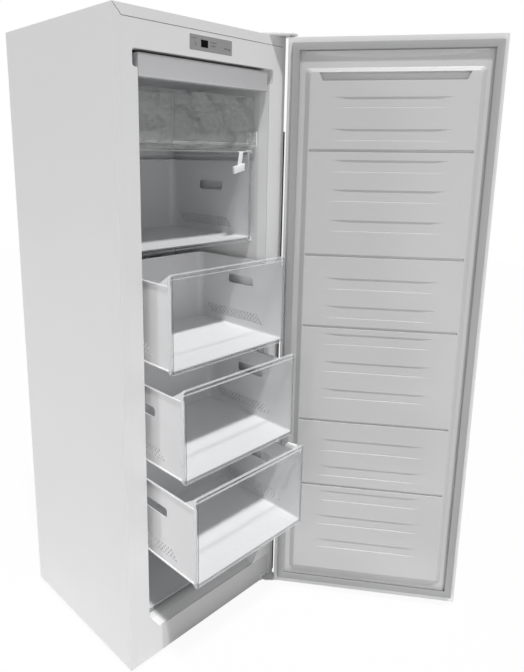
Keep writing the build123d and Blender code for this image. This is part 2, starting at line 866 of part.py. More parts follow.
# Each drawer slides on two ledges that taper to a nose, and the shelf lies on two more.
rail_front = drawer_front_y + front_return + 5
shelf_back_y = cover_front_y - 2
ledges.append((shelf_low, shelf_back_y))
rails = []
for top, ledge_back in ledges:
    section = outline(
        (-cavity_half, top),
        (-cavity_half, top - ledge_root),
        (-ledge_half, top - ledge_nose),
        (-ledge_half, top),
    )
    rail = along_y(section, rail_front, ledge_back)
    rails.append(rail)
    rails.append(mirrored(rail))

low_floor = drawers["drawer_6"][0] + tub_floor_lift
runner_half = cavity_half - corner_run - runner_clearance
runner = block(-runner_half, -runner_half + runner_width, rail_front, low_drawer_back_y, cavity_floor,
               low_floor - ledge_gap)

# ---------------------------------------------------------------- top compartment

top_shelf = block(-shelf_half, shelf_half, shelf_front_y, shelf_back_y, shelf_low, shelf_high)
top_shelf += block(-shelf_half, shelf_half, shelf_back_y - shelf_lip_depth, shelf_back_y, shelf_high,
                   shelf_high + shelf_lip_height)

# The flap's brackets stand on the shelf and hold its pins, above a second hole for a screw.
bracket_high = shelf_high + flap_bracket_height
bracket_block = outline(
    (drawer_front_y - 8, shelf_high),
    (shelf_front_y + 12, shelf_high),
    (drawer_front_y + 16, bracket_high),
    (drawer_front_y + 2, bracket_high),
    (drawer_front_y - 8, shelf_high + 18),
)
pin_hole = shaft_x(flap_pivot_y, flap_pivot_z, -half_width, half_width, flap_pin_radius + running_gap)
bracket_hole = shaft_x(drawer_front_y + 9, bracket_high - 11, -half_width, half_width, flap_pin_radius)
flap_bracket = along_x(bracket_block, -shelf_half, -shelf_half + flap_bracket_sheet)
flap_bracket -= pin_hole
flap_bracket -= bracket_hole
flap_back_y = flap_pivot_y
flap_front_y = flap_pivot_y - flap_thickness
pin_reach = shelf_half - ledge_gap
top_flap = block(-flap_half, flap_half, flap_front_y, flap_back_y, flap_low, flap_high)
top_flap += block(-flap_half, flap_half, flap_front_y - flap_edge, flap_back_y, flap_high - flap_thickness,
                  flap_high)
top_flap += shaft_x(flap_pivot_y, flap_pivot_z, -flap_half, flap_half, flap_pin_radius + 1)
top_flap += shaft_x(flap_pivot_y, flap_pivot_z, -pin_reach, pin_reach, flap_pin_radius)

# ---------------------------------------------------------------- door, drawn shut

door_middle_y = (door_inner_y + door_outer_y) / 2
door_shape = Pos(0, door_middle_y) * RectangleRounded(width, door_thickness, door_round)
door_shape_in = Pos(0, door_middle_y) * RectangleRounded(
    width - 2 * sheet, door_thickness - 2 * sheet, door_round - sheet
)
skin_low = door_low + bottom_cap_height
skin_high = door_high - top_cap_height
rim_x = half_width - rim_return
door_outer_panel = along_z(door_shape, skin_low, skin_high) - along_z(door_shape_in, skin_low, skin_high)
door_outer_panel -= block(-rim_x, rim_x, door_middle_y, door_inner_y + 1, skin_low, skin_high)

door_top_cap = along_z(door_shape, skin_high, door_high)
door_top_cap -= along_z(door_shape_in, skin_high, door_high - cap_plate)
door_bottom_cap = along_z(door_shape, door_low, skin_low)
door_bottom_cap -= along_z(door_shape_in, door_low + cap_plate, skin_low)

base_panel = Pos(0, (panel_base_low + panel_base_high) / 2) * RectangleRounded(
    2 * panel_base_half, panel_base_high - panel_base_low, panel_base_round
)
face_panel = Pos(0, (panel_face_low + panel_face_high) / 2) * RectangleRounded(
    2 * panel_face_half, panel_face_high - panel_face_low, panel_face_round
)


def raised_panel(inset):
    """Raised inner face of the door, with its grooves, top recess and shallow bands, set in by inset."""
    base = offset(base_panel, -inset) if inset else base_panel
    face = offset(face_panel, -inset) if inset else face_panel
    base_y = door_inner_y - inset
    face_y = door_inner_y + panel_proud - inset
    shape = loft([Plane.XZ.offset(-base_y) * base, Plane.XZ.offset(-face_y) * face])
    shape -= block(-recess_half - inset, recess_half + inset, face_y - recess_depth, face_y + 1,
                   recess_low - inset, recess_high + inset)
    for groove_z in groove_levels:
        shape -= block(-half_width, half_width, face_y - groove_depth, face_y + 1,
                       groove_z - groove_height / 2 - inset, groove_z + groove_height / 2 + inset)
    for band_z, band_height in band_places:
        band_low = level(band_z)
        shape -= block(-band_half - inset, band_half + inset, face_y - band_depth, face_y + 1,
                       band_low - inset, band_low + band_height + inset)
    return shape


liner_sheet = block(-rim_x, rim_x, door_inner_y - liner_wall, door_inner_y, skin_low, skin_high)
raised_out = raised_panel(0)
raised_in = raised_panel(liner_wall)
door_liner = liner_sheet + raised_out - raised_in

bush_top_low = door_high - bush_depth
bush_low_high = door_low + bush_depth
bush_room = post(hinge_x, hinge_y, bush_top_low, door_high + 1, bush_radius + skin_gap)
bush_room += post(hinge_x, hinge_y, door_low - 1, bush_low_high, bush_radius + skin_gap)


def swung(shape):
    """A door piece turned from shut to the angle at which the door stands."""
    return Pos(hinge_x, hinge_y) * Rot(0, 0, door_open_angle) * Pos(-hinge_x, -hinge_y) * shape


def ring(inset_out, inset_in, y0, y1):
    """Rectangular ring round the door's inner face, between two insets from the gasket's outside."""
    outside = block(-gasket_out + inset_out, gasket_out - inset_out, y0, y1, gasket_low + inset_out,
                    gasket_high - inset_out)
    return outside - block(-gasket_out + inset_in, gasket_out - inset_in, y0, y1, gasket_low + inset_in,
                           gasket_high - inset_in)


gasket_foot_y = door_inner_y + gasket_foot
gasket_head_y = door_inner_y + gasket_thickness - gasket_foot
door_gasket = ring(0, gasket_width, door_inner_y, gasket_foot_y)
door_gasket += ring(gasket_waist_inset, gasket_width - gasket_waist_inset, gasket_foot_y, gasket_head_y)
door_gasket += ring(gasket_head_inset, gasket_width - gasket_head_inset, gasket_head_y,
                    door_inner_y + gasket_thickness)

door_insulation = along_z(door_shape_in, door_low + cap_plate, door_high - cap_plate)
door_insulation -= liner_sheet
door_insulation += raised_in
door_insulation -= bush_room
door_top_cap -= bush_room
door_bottom_cap -= bush_room

hinge_bushes = []
for low, high, flange_low in (
    (bush_top_low, door_high, door_high),
    (door_low, bush_low_high, door_low - bush_flange),
):
    bush = post(hinge_x, hinge_y, low, high, bush_radius)
    bush += post(hinge_x, hinge_y, flange_low, flange_low + bush_flange, bush_flange_radius)
    bush -= post(hinge_x, hinge_y, low - bush_flange, high + bush_flange, pin_radius + running_gap)
    hinge_bushes.append(bush)

# ---------------------------------------------------------------- hinges

plate_left = hinge_x - 44.6
plate_right = half_width - 1.5
plate_near_y = hinge_y - 9.9
plate_neck_x = hinge_x - 9.6
plate_far_y = front_y + 48.0
upper_plan = outline(
    (plate_left, plate_far_y),
    (plate_right, plate_far_y),
    (plate_right, plate_near_y),
    (plate_neck_x, plate_near_y),
    (plate_neck_x - 13, front_y - 8),
    (plate_left, front_y + 8),
)
lower_plan = outline(
    (plate_left, front_y),
    (plate_right, front_y),
    (plate_right, plate_near_y),
    (plate_neck_x, plate_near_y),
    (plate_left + 6, front_y - 15),
)
pin_hole = post(hinge_x, hinge_y, 0, top_z + hinge_cover_height, pin_radius + skin_gap)
upper_hinge_bracket = along_z(upper_plan, top_z, top_z + bracket_plate) - pin_hole
lower_hinge_bracket = along_z(lower_plan, base_low, base_low + bracket_plate) - pin_hole
lower_hinge_bracket += block(plate_left - 8, plate_right, front_y - bracket_plate, front_y, base_low,
                             base_low + lower_plate_rise)

pin_seat = top_z + bracket_plate
pin_end_gap = 2.0
pin_head = 3.0
pin_head_radius = pin_radius + 3
upper_pin = post(hinge_x, hinge_y, bush_top_low + pin_end_gap, pin_seat, pin_radius)
upper_pin += post(hinge_x, hinge_y, pin_seat, pin_seat + pin_head, pin_head_radius)
lower_pin = post(hinge_x, hinge_y, base_low, bush_low_high - pin_end_gap, pin_radius)
lower_pin += post(hinge_x, hinge_y, base_low - pin_head, base_low, pin_head_radius)

hinge_screws = []
screw_near_y = front_y + 15.0
screw_far_y = front_y + 38.0
screw_left = plate_left + 9
screw_right = plate_right - 9
for screw_x, screw_y in (
    (screw_left, screw_far_y), (screw_right, screw_far_y), (screw_left, screw_near_y)
):
    screw = post(screw_x, screw_y, pin_seat - screw_length, pin_seat, screw_shank_radius)
    screw += post(screw_x, screw_y, pin_seat, pin_seat + screw_head_height, screw_head_radius)
    hinge_screws.append(screw)
    hole = post(screw_x, screw_y, pin_seat - screw_length, pin_seat, screw_hole_radius)
    upper_hinge_bracket -= hole
    top_cover -= hole
    foam -= hole
screw_seat_y = front_y - bracket_plate
screw_z = base_low + 12.0
for screw_x in (plate_left + 2, plate_left + 18):
    screw = shaft_y(screw_x, screw_z, screw_seat_y, screw_seat_y + screw_length, screw_shank_radius)
    screw += shaft_y(screw_x, screw_z, screw_seat_y - screw_head_height, screw_seat_y, screw_head_radius)
    hinge_screws.append(screw)
    hole = shaft_y(screw_x, screw_z, screw_seat_y, screw_seat_y + screw_length, screw_hole_radius)
    lower_hinge_bracket -= hole
    base_pan -= hole
    foam -= hole

lid_left = half_width - 83.5
lid_right = half_width + 2.5
lid_near_y = hinge_y - 15.9
lid_far_y = front_y + 56.0
lid_middle = Pos((lid_left + lid_right) / 2, (lid_near_y + lid_far_y) / 2)
lid_plan = lid_middle * RectangleRounded(lid_right - lid_left, lid_far_y - lid_near_y, lid_round)
lid_room = offset(lid_plan, -hinge_cover_wall)
lid_high = top_z + hinge_cover_height
upper_hinge_cover = along_z(lid_plan, top_z, lid_high)
upper_hinge_cover = fillet(upper_hinge_cover.edges().group_by(Axis.Z)[-1], lid_edge_round)
upper_hinge_cover -= along_z(lid_room, top_z, lid_high - hinge_cover_wall)

# ---------------------------------------------------------------- files

fixed = {
    "side_panel_left": side_panel_left,
    "side_panel_right": side_panel_right,
    "top_cover": top_cover,
    "back_panel": back_panel,
    "base_pan": base_pan,
    "front_frame": front_frame,
    "inner_liner": inner_liner,
    "cabinet_insulation": foam,
    "control_panel": control_panel,
    "display_window": display_window,
    "control_board": control_board,
    "top_air_duct": top_air_duct,
    "evaporator_cover": evaporator_cover,
    "evaporator": evaporator,
    "defrost_heater": defrost_heater,
    "fan_motor": fan_motor,
    "fan_impeller": fan_impeller,
    "drain_tube": drain_tube,
    "drip_tray": drip_tray,
    "compressor": compressor,
    "start_relay": start_relay,
    "filter_drier": filter_drier,
    "condenser_coil": condenser_coil,
    "rear_grille": rear_grille,
    "cord_gland": cord_gland,
    "upper_hinge_bracket": upper_hinge_bracket,
    "upper_hinge_cover": upper_hinge_cover,
    "lower_hinge_bracket": lower_hinge_bracket,
    "top_shelf": top_shelf,
    "top_flap": top_flap,
}
for node, shape in fixed.items():
    save(node, shape)
save("compressor_grommets", *compressor_grommets)
save("refrigerant_pipes", discharge_pipe, suction_pipe, liquid_pipe, capillary)
save("hinge_pins", upper_pin, lower_pin)
save("hinge_screws", *hinge_screws)
save("drawer_rails", *rails, runner, mirrored(runner))
save("flap_brackets", flap_bracket, mirrored(flap_bracket))
for name, button in buttons.items():
    save(name, button)
for name in ("left", "right"):
    save("front_foot_" + name, feet[name])
    save("rear_roller_" + name, rollers[name])
for name in drawers:
    save(name + "_tub", tubs[name])
    save(name + "_front", fronts[name])
save("door_outer_panel", swung(door_outer_panel))
save("door_liner", swung(door_liner))
save("door_insulation", swung(door_insulation))
save("door_gasket", swung(door_gasket))
save("door_top_cap", swung(door_top_cap))
save("door_bottom_cap", swung(door_bottom_cap))
save("hinge_bushes", *[swung(bush) for bush in hinge_bushes])
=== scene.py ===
# %% [markdown]
# # An upright freezer with its door open
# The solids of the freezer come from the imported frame, in metres and already in place. This
# lesson gives them their finishes, makes the pieces whose soft moulded forms the solids only
# outline, and lights the whole like a plain product picture.

# %% Load the frame
import json
import math
import bpy
import bmesh
from mathutils import Matrix, Vector


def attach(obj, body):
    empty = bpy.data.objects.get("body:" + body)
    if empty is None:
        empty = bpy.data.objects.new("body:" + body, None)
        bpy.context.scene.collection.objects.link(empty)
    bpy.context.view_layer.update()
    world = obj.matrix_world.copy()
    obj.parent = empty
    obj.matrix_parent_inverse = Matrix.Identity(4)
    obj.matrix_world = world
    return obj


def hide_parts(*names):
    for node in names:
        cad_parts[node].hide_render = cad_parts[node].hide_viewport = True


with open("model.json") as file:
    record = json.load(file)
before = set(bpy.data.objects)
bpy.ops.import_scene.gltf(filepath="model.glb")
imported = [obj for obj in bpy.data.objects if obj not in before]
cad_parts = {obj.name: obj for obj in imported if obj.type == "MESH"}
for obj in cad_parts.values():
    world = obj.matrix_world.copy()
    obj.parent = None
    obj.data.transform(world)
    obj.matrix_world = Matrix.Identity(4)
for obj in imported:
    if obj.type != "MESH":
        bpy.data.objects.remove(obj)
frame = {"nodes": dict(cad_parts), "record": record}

MM = 0.001
BLACK, WHITE = (0.0, 0.0, 0.0), (1.0, 1.0, 1.0)

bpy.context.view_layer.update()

# %% [markdown]
# ## Shader maths as plain expressions
# A finish is a small calculation: a noise here, a step there, one added to the other. Writing it
# with node calls hides the sum, so a value in a shader is wrapped in a class whose +, - and *
# add Math nodes.


# %% A value in a shader
class Value:
    """One socket of a material's node tree, which can be added, multiplied and compared."""

    def __init__(self, tree, socket):
        self.tree = tree
        self.socket = socket

    def maths(self, kind, other=0.5, swap=False):
        node = self.tree.nodes.new("ShaderNodeMath")
        node.operation = kind
        order = (other, self) if swap else (self, other)
        for place, value in enumerate(order):
            put(self.tree, node.inputs[place], value)
        return Value(self.tree, node.outputs[0])

    def __add__(self, other):
        return self.maths("ADD", other)

    def __mul__(self, other):
        return self.maths("MULTIPLY", other)

    def __sub__(self, other):
        return self.maths("SUBTRACT", other)

    def __rsub__(self, other):
        return self.maths("SUBTRACT", other, swap=True)

    def above(self, level):
        return self.maths("GREATER_THAN", level)

    def power(self, exponent):
        return self.maths("POWER", exponent)


def put(tree, socket, value):
    """Link a value to a socket, or set the socket where the value is a plain number or colour."""
    if isinstance(value, Value):
        tree.links.new(value.socket, socket)
    elif isinstance(value, (tuple, list)) and len(value) == 3 and socket.type == "RGBA":
        socket.default_value = (*value, 1.0)
    else:
        socket.default_value = value


class Finish:
    """A material whose surface is one Principled shader, set up by name."""

    def __init__(self, name):
        self.material = bpy.data.materials.new(name)
        self.material.use_nodes = True
        self.tree = self.material.node_tree
        self.tree.nodes.clear()
        self.out = self.tree.nodes.new("ShaderNodeOutputMaterial")

    def node(self, kind, output=0, **inputs):
        made = self.tree.nodes.new(kind)
        for key, value in inputs.items():
            put(self.tree, made.inputs[key.replace("_", " ")], value)
        return Value(self.tree, made.outputs[output])

    def place(self):
        """Place on the object, in metres."""
        return self.node("ShaderNodeTexCoord", output=3)

    def along(self, axis):
        """Place along X (0), Y (1) or Z (2), in metres."""
        return self.node("ShaderNodeSeparateXYZ", output=axis, Vector=self.place())

    def noise(self, scale, detail=3.0):
        return self.node("ShaderNodeTexNoise", Vector=self.place(), Scale=scale, Detail=detail)

    def mixed(self, amount, first, second):
        """Colour between two colours."""
        node = self.tree.nodes.new("ShaderNodeMix")
        node.data_type = "RGBA"
        put(self.tree, node.inputs[0], amount)
        put(self.tree, node.inputs[6], first)
        put(self.tree, node.inputs[7], second)
        return Value(self.tree, node.outputs[2])

    def clouded(self, colour, depth, scale=2.5, detail=4.0):
        """Colour that is darker here and there, by a share of itself."""
        return self.mixed(self.noise(scale, detail) * depth + (1.0 - depth), BLACK, colour)

    def rubbed(self, roughness):
        """Roughness that drifts a little round its middle value."""
        drift = 0.08
        return self.noise(40.0) * drift + (roughness - drift / 2)

    def bump(self, height, distance):
        return self.node("ShaderNodeBump", Height=height, Distance=distance, Strength=1.0)

    def principled(self, **inputs):
        return self.node("ShaderNodeBsdfPrincipled", **inputs)

    def blended(self, amount, first, second):
        """Shader between two shaders."""
        mix = self.node("ShaderNodeMixShader", Fac=amount)
        for place, shader in ((1, first), (2, second)):
            put(self.tree, mix.socket.node.inputs[place], shader)
        return mix

    def done(self, shader):
        self.tree.links.new(shader.socket, self.out.inputs["Surface"])
        return self.material


# %% [markdown]
# ## The camera
# The photograph was taken from the left front, at about head height, with a wide lens. Its place
# and angles were worked out from the cabinet's corners, which are straight and have known sizes.

# %% Camera
photo_width = 524
photo_height = 672
camera_place = Vector((-1.1023, -1.4778, 1.4516))
camera_turn = math.radians(44.801)
camera_tilt = math.radians(-12.026)
camera_roll = math.radians(0.634)
focal_pixels = 595.757
centre_pixel = (234.506, 281.817)
sensor_width = 36.0

forward = Vector((
    math.sin(camera_turn) * math.cos(camera_tilt),
    math.cos(camera_turn) * math.cos(camera_tilt),
    math.sin(camera_tilt),
))
level_right = Vector((math.cos(camera_turn), -math.sin(camera_turn), 0.0))
level_up = level_right.cross(forward)
camera_right = math.cos(camera_roll) * level_right + math.sin(camera_roll) * level_up
camera_up = -math.sin(camera_roll) * level_right + math.cos(camera_roll) * level_up
axes = Matrix((camera_right, camera_up, -forward)).transposed().to_4x4()

camera_data = bpy.data.cameras.new("camera")
camera = bpy.data.objects.new("camera", camera_data)
bpy.context.scene.collection.objects.link(camera)
camera.matrix_world = Matrix.Translation(camera_place) @ axes
camera_data.sensor_width = sensor_width
camera_data.lens = focal_pixels / photo_height * sensor_width
camera_data.shift_x = (photo_width / 2 - centre_pixel[0]) / photo_height
camera_data.shift_y = (centre_pixel[1] - photo_height / 2) / photo_height
camera_data.clip_end = 50.0
bpy.context.scene.camera = camera
bpy.context.scene.view_settings.view_transform = "Standard"
print("camera lens", round(camera_data.lens, 2), "mm")

# %% [markdown]
# ## Floor, background and light
# The freezer stands on a pale floor in front of a white background. The white comes from the
# world's own colour where the camera looks at it, so it adds no light. The shadows in the
# photograph give the lights away. Each open drawer shades the floor of the one below, so the
# main light is steep. The open door's corner shades a strip of the cabinet's front, so it stands
# 24 degrees left of the front. The right wall of the cavity is bright only along its front, so a
# second light grazes it from the left, and the liner's finish adds painted light on that strip. A
# third light comes from behind the left side and touches that side alone, and a weak, very broad
# one fills the front.

# %% Floor
floor_size = 14.0
floor_level = 0.80
backdrop_share = 0.94
bpy.ops.object.select_all(action="DESELECT")
bpy.ops.mesh.primitive_plane_add(size=floor_size, location=(0.5, 0.5, 0.0))
floor = bpy.context.object
floor.name = "floor"
pale = Finish("pale floor")
floor_tone = pale.mixed(pale.noise(3.0) * 0.01 + floor_level, BLACK, WHITE)
floor_surface = pale.principled(Base_Color=floor_tone, Roughness=0.7)
seen = pale.node("ShaderNodeLightPath", output=0)
glow = pale.node("ShaderNodeEmission", Color=WHITE, Strength=1.0)
floor.data.materials.append(pale.done(pale.blended(seen * backdrop_share, floor_surface, glow)))
print("floor:", floor_size, "m wide")

# %% [markdown]
# A plain white world would light the scene from all sides and wash the shadows out. Light Path
# nodes tell what kind of ray is asking, so the camera sees pure white, a reflection sees about
# half of it, and every other ray meets a faint grey that only fills the shadows.

# %% World
ambient_level = 0.22
gloss_share = 0.5
world = bpy.data.worlds.new("studio")
bpy.context.scene.world = world
world.use_nodes = True
world_tree = world.node_tree
world_tree.nodes.clear()
paths = world_tree.nodes.new("ShaderNodeLightPath")
seen_directly = Value(world_tree, paths.outputs["Is Camera Ray"])
seen_in_gloss = Value(world_tree, paths.outputs["Is Glossy Ray"])
seen_through = Value(world_tree, paths.outputs["Is Transmission Ray"])
white_part = (seen_directly + seen_in_gloss * gloss_share + seen_through).maths("MINIMUM", 1.0)
background = world_tree.nodes.new("ShaderNodeBackground")
put(world_tree, background.inputs["Color"], WHITE)
put(world_tree, background.inputs["Strength"], white_part * (1.0 - ambient_level) + ambient_level)
world_out = world_tree.nodes.new("ShaderNodeOutputWorld")
world_tree.links.new(background.outputs[0], world_out.inputs["Surface"])
print("world: white to the camera,", ambient_level, "of that as light")

# %% [markdown]
# Area lamps would fall off over the freezer's height, so the lights are suns, whose rays are
# parallel. A sun's angle sets how soft its shadows are: a few degrees give the main light a
# clear edge, and the fill's 50 degrees leave no edge at all.


# %% Lamps
def sunlight(name, left_of_front, elevation, strength, spread):
    """Distant light that comes from a compass direction and height, all in degrees."""
    turn, rise = math.radians(left_of_front), math.radians(elevation)
    level = math.cos(rise)
    towards = Vector((-math.sin(turn) * level, -math.cos(turn) * level, math.sin(rise)))
    light = bpy.data.lights.new(name, "SUN")
    light.energy = strength
    light.angle = math.radians(spread)
    holder = bpy.data.objects.new(name, light)
    bpy.context.scene.collection.objects.link(holder)
    holder.matrix_world = towards.to_track_quat("Z", "Y").to_matrix().to_4x4()
    print(name, "shines from", [round(value, 2) for value in towards])


sunlight("main light", 24.0, 67.2, 2.6, 4.0)
sunlight("left light", 85.0, 12.0, 0.15, 5.0)
sunlight("side light", 113.0, 12.0, 0.54, 8.0)
sunlight("front fill", 20.0, 8.0, 0.24, 50.0)

# %% [markdown]
# ## Finishes
# Enamelled steel and moulded plastic look alike in a small picture, but not close up: the enamel
# has a faint orange peel and a clear gloss, the plastic a fine spark-eroded grain and a duller
# sheen. Photographs of surfaces could be laid on, but noise in the object's own space needs no
# unwrapping and has no seams.


# %% Plain finishes
def grey(level):
    return (level, level, level)


def grained(name, colour, roughness, grain=0.0, grain_size=1200.0,
            metallic=0.0, coat=0.0, drift=0.02, mirror=0.5):
    """Solid finish with a fine grain and a slight drift in tone."""
    made = Finish(name)
    darker = tuple(channel * (1.0 - drift * 2) for channel in colour)
    inputs = dict(
        Base_Color=made.mixed(made.noise(2.5, detail=4.0), darker, colour),
        Roughness=made.rubbed(roughness),
        Metallic=metallic, Coat_Weight=coat, Coat_Roughness=0.08, Specular_IOR_Level=mirror,
    )
    if grain:
        inputs["Normal"] = made.bump(made.noise(grain_size, detail=2.0), grain)
    return made.done(made.principled(**inputs))


def striped(name, colour, roughness, pitch):
    """White plastic with low ribs that run from front to back, at a pitch in millimetres."""
    made = Finish(name)
    wave = (made.along(0) * (2 * math.pi / (pitch * MM))).maths("SINE")
    height = wave.above(0.55) + made.noise(900.0) * 0.1
    tone = made.clouded(colour, 0.05, scale=3.0, detail=3.0)
    grain = made.bump(height, 0.4 * MM)
    return made.done(made.principled(Base_Color=tone, Roughness=roughness, Normal=grain))


def moulded(made, tone, roughness, grain, grain_size):
    """Shader of white plastic, with a tone that may change from place to place."""
    return made.principled(
        Base_Color=made.clouded(tone, 0.04),
        Roughness=made.rubbed(roughness),
        Normal=made.bump(made.noise(grain_size, detail=2.0), grain),
    )


def painted_shade_band(name, colour, shaded_colour, roughness, left, high):
    """White plastic with painted shade right of a place and below a height, both in metres, where
    the drawers' shadow falls.
    """
    made = Finish(name)
    # Right of a place and below a height the colour is darker: painted shade of the drawers.
    inside = made.along(0).above(left) * (1.0 - made.along(2).above(high))
    tone = made.mixed(inside, colour, shaded_colour)
    return made.done(moulded(made, tone, roughness, 0.05 * MM, 1500.0))


def painted_light_liner(name, colour, lit_colour, roughness, front):
    """White plastic with painted light: whiter in its front strip, ahead of a place in metres,
    where light falls on it.
    """
    made = Finish(name)
    # The front strip is painted whiter, as light falls on it there.
    tone = made.mixed(made.along(1).above(front), lit_colour, colour)
    return made.done(moulded(made, tone, roughness, 0.06 * MM, 500.0))


# %% [markdown]
# Each finish is one line: a colour, a roughness, and the depth and fineness of its grain. The
# white liner is painted whiter along its front, where light falls on it, and the plastic at the
# foot of the cabinet has painted shade where the drawers' shadow falls.

# %% The opaque finishes
white_enamel = grained("white enamel", grey(0.80), 0.32, 0.12 * MM, 260.0, coat=0.25)
white_plastic = grained("white plastic", grey(0.80), 0.42, 0.05 * MM, 1500.0)
# The frame and base pan carry painted shade at the foot, where the drawers' shadow falls.
frame_plastic_painted_shade = painted_shade_band("frame plastic, painted shade", grey(0.80), grey(0.64), 0.42, left=-0.186, high=0.101)
# The liner's front strip carries painted light.
liner_painted_light = painted_light_liner("vacuum-formed white plastic, painted light", grey(0.86), grey(0.96), 0.36,
                           front=-0.2315)
bright_plastic = grained("bright white plastic", grey(0.90), 0.30, 0.04 * MM)
duct_plastic = grained("duct plastic", (0.52, 0.52, 0.53), 0.40, 0.05 * MM)
# Painted light: the floors are whiter than the tub walls of the same plastic; the ribs are real.
floor_plastic_painted_light = striped("drawer floor", grey(0.90), 0.34, pitch=24.0)
mark_grey = grained("printed mark", grey(0.12), 0.5, 0.02 * MM)
# Painted shade: the door's white plastic is set darker grey, for the lesser light on the door.
door_plastic_painted_shade = grained("door sheet plastic, painted shade", grey(0.60), 0.36, 0.06 * MM, 500.0)
tub_plastic = grained("drawer plastic", (0.76, 0.76, 0.77), 0.34, 0.04 * MM, 900.0)
grey_plastic = grained("grey plastic", (0.31, 0.31, 0.315), 0.42, 0.05 * MM)
dark_plastic = grained("dark plastic", (0.03, 0.03, 0.033), 0.45, 0.05 * MM)
gasket_rubber = grained("soft gasket", (0.385, 0.385, 0.39), 0.55, 0.05 * MM, 700.0)
black_rubber = grained("black rubber", grey(0.02), 0.7, 0.1 * MM)
zinc = grained("zinc plated steel", (0.62, 0.63, 0.65), 0.38, 0.05 * MM, metallic=1.0, drift=0.06)
aluminium = grained("plain aluminium", (0.78, 0.79, 0.80), 0.36, 0.04 * MM,
                    metallic=1.0, drift=0.04)
copper = grained("drawn copper", (0.72, 0.40, 0.27), 0.30, metallic=1.0, drift=0.08)
black_enamel = grained("black enamel", (0.02, 0.02, 0.022), 0.35, 0.1 * MM, coat=0.2)
board_green = grained("coated circuit board", (0.03, 0.18, 0.08), 0.4, 0.03 * MM)
foam_yellow = grained("rigid foam", (0.80, 0.72, 0.48), 0.85, 0.6 * MM, 420.0, drift=0.08)
display_black = grained("display window", (0.003, 0.003, 0.004), 0.6, mirror=0.05)
print(len(bpy.data.materials), "materials in the file so far")

# %% [markdown]
# Clear plastic is mostly a hole: light has to pass through it and still fall on the drawer floor
# behind. A transparent shader does that, and a glossy one is mixed in where the sheet is seen
# edge on, as on real polystyrene. Real refraction would need many more samples, and it darkens
# what lies behind a thin sheet.


# %% Clear finishes
def clear(name, tint, body, least, edge, ripple=0.0):
    """See-through finish: how much of it shows face on, and how much is added edge on."""
    made = Finish(name)
    facing = made.node("ShaderNodeLayerWeight", output=1, Blend=0.35)
    haze = made.noise(9.0) * 0.015
    shadow_ray = made.node("ShaderNodeLightPath", output=1)
    amount = (facing.power(3.0) * edge + haze + least) * (1.0 - shadow_ray * 0.85)
    through = made.node("ShaderNodeBsdfTransparent", Color=tint)
    inputs = dict(Base_Color=body, Roughness=0.07 if ripple else 0.12, Coat_Weight=0.3)
    if ripple:
        inputs["Normal"] = made.bump(made.noise(17.0, detail=4.0), ripple)
    return made.done(made.blended(amount, through, made.principled(**inputs)))


clear_plastic = clear("clear plastic", (0.985, 0.988, 0.99), (0.78, 0.80, 0.81), 0.0, 0.7)
# Painted highlight: edge faces get a whiter, less clear finish for the bright line the rim shows.
clear_edge_highlight = clear("clear plastic edge, painted highlight", (0.93, 0.94, 0.94), (0.88, 0.89, 0.89), 0.34, 0.5)
# Painted shade: a darker clear finish draws the dark line down each side of the front.
clear_rim_painted_shade = clear("clear plastic rim, painted shade", (0.56, 0.57, 0.57), (0.40, 0.41, 0.41), 0.30, 0.4)
flap_film = clear("flap film", (0.95, 0.955, 0.955), (0.80, 0.81, 0.81), 0.16, 0.6, ripple=0.09)
shelf_glass = clear("shelf glass", (0.94, 0.945, 0.945), (0.70, 0.71, 0.71), 0.05, 0.7)

# %% [markdown]
# Each solid comes with a slot that says what it is made of, so one table dresses nearly all of
# them. The few whose tone differs in the photograph have a finish of their own.

# %% Finishes on the solids
finish_of = {
    "white_steel": white_enamel,
    "bare_steel": zinc,
    "black_steel": black_enamel,
    "white_plastic": white_plastic,
    "clear_plastic": clear_plastic,
    "grey_plastic": grey_plastic,
    "dark_plastic": dark_plastic,
    "foam": foam_yellow,
    "grey_rubber": gasket_rubber,
    "black_rubber": black_rubber,
    "copper": copper,
    "aluminium": aluminium,
    "green_board": board_green,
    "white_glass": shelf_glass,
}
slot_of = {part["node"]: part["material_slot"] for part in frame["record"]["subparts"]}
own_finish = {
    "display_window": display_black,
    "inner_liner": liner_painted_light,
    "door_liner": door_plastic_painted_shade,
    "front_frame": frame_plastic_painted_shade,
    "base_pan": frame_plastic_painted_shade,
}


def dress(solid, finish):
    """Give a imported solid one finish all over."""
    solid.data.materials.clear()
    solid.data.materials.append(finish)


for node, slot in slot_of.items():
    finish = own_finish.get(node, tub_plastic if node.endswith("_tub") else finish_of[slot])
    dress(frame["nodes"][node], finish)
print("dressed", len(slot_of), "solids")

# %% [markdown]
# ## Modelling by hand, in code
# The pieces below are made as they would be at the screen: a block is added at its real size,
# faces and edges are picked by where they are, and then inset, bevelled or cut. Picking by place
# keeps the recipe readable, and it still works when an earlier step adds more faces. Sculpting
# would be quicker for a soft form, but could not keep these sizes.


# %% Helpers for objects
def alone(piece):
    """Make one object the only selected one."""
    bpy.ops.object.select_all(action="DESELECT")
    bpy.context.view_layer.objects.active = piece
    piece.select_set(True)
    return piece


def freeze():
    """Write the place, turn and size of the selected object into its mesh."""
    bpy.ops.object.transform_apply(location=True, rotation=True, scale=True)


def new_block(name, low, high):
    """Block between two corners given in millimetres."""
    bpy.ops.object.select_all(action="DESELECT")
    low, high = Vector(low) * MM, Vector(high) * MM
    bpy.ops.mesh.primitive_cube_add(size=1.0, location=(low + high) / 2)
    piece = bpy.context.object
    piece.name = piece.data.name = name
    piece.scale = high - low
    freeze()
    return piece


def smooth(piece, degrees=40):
    """Shade the gentle edges smooth and leave the sharp ones."""
    alone(piece)
    bpy.ops.object.shade_smooth_by_angle(angle=math.radians(degrees))


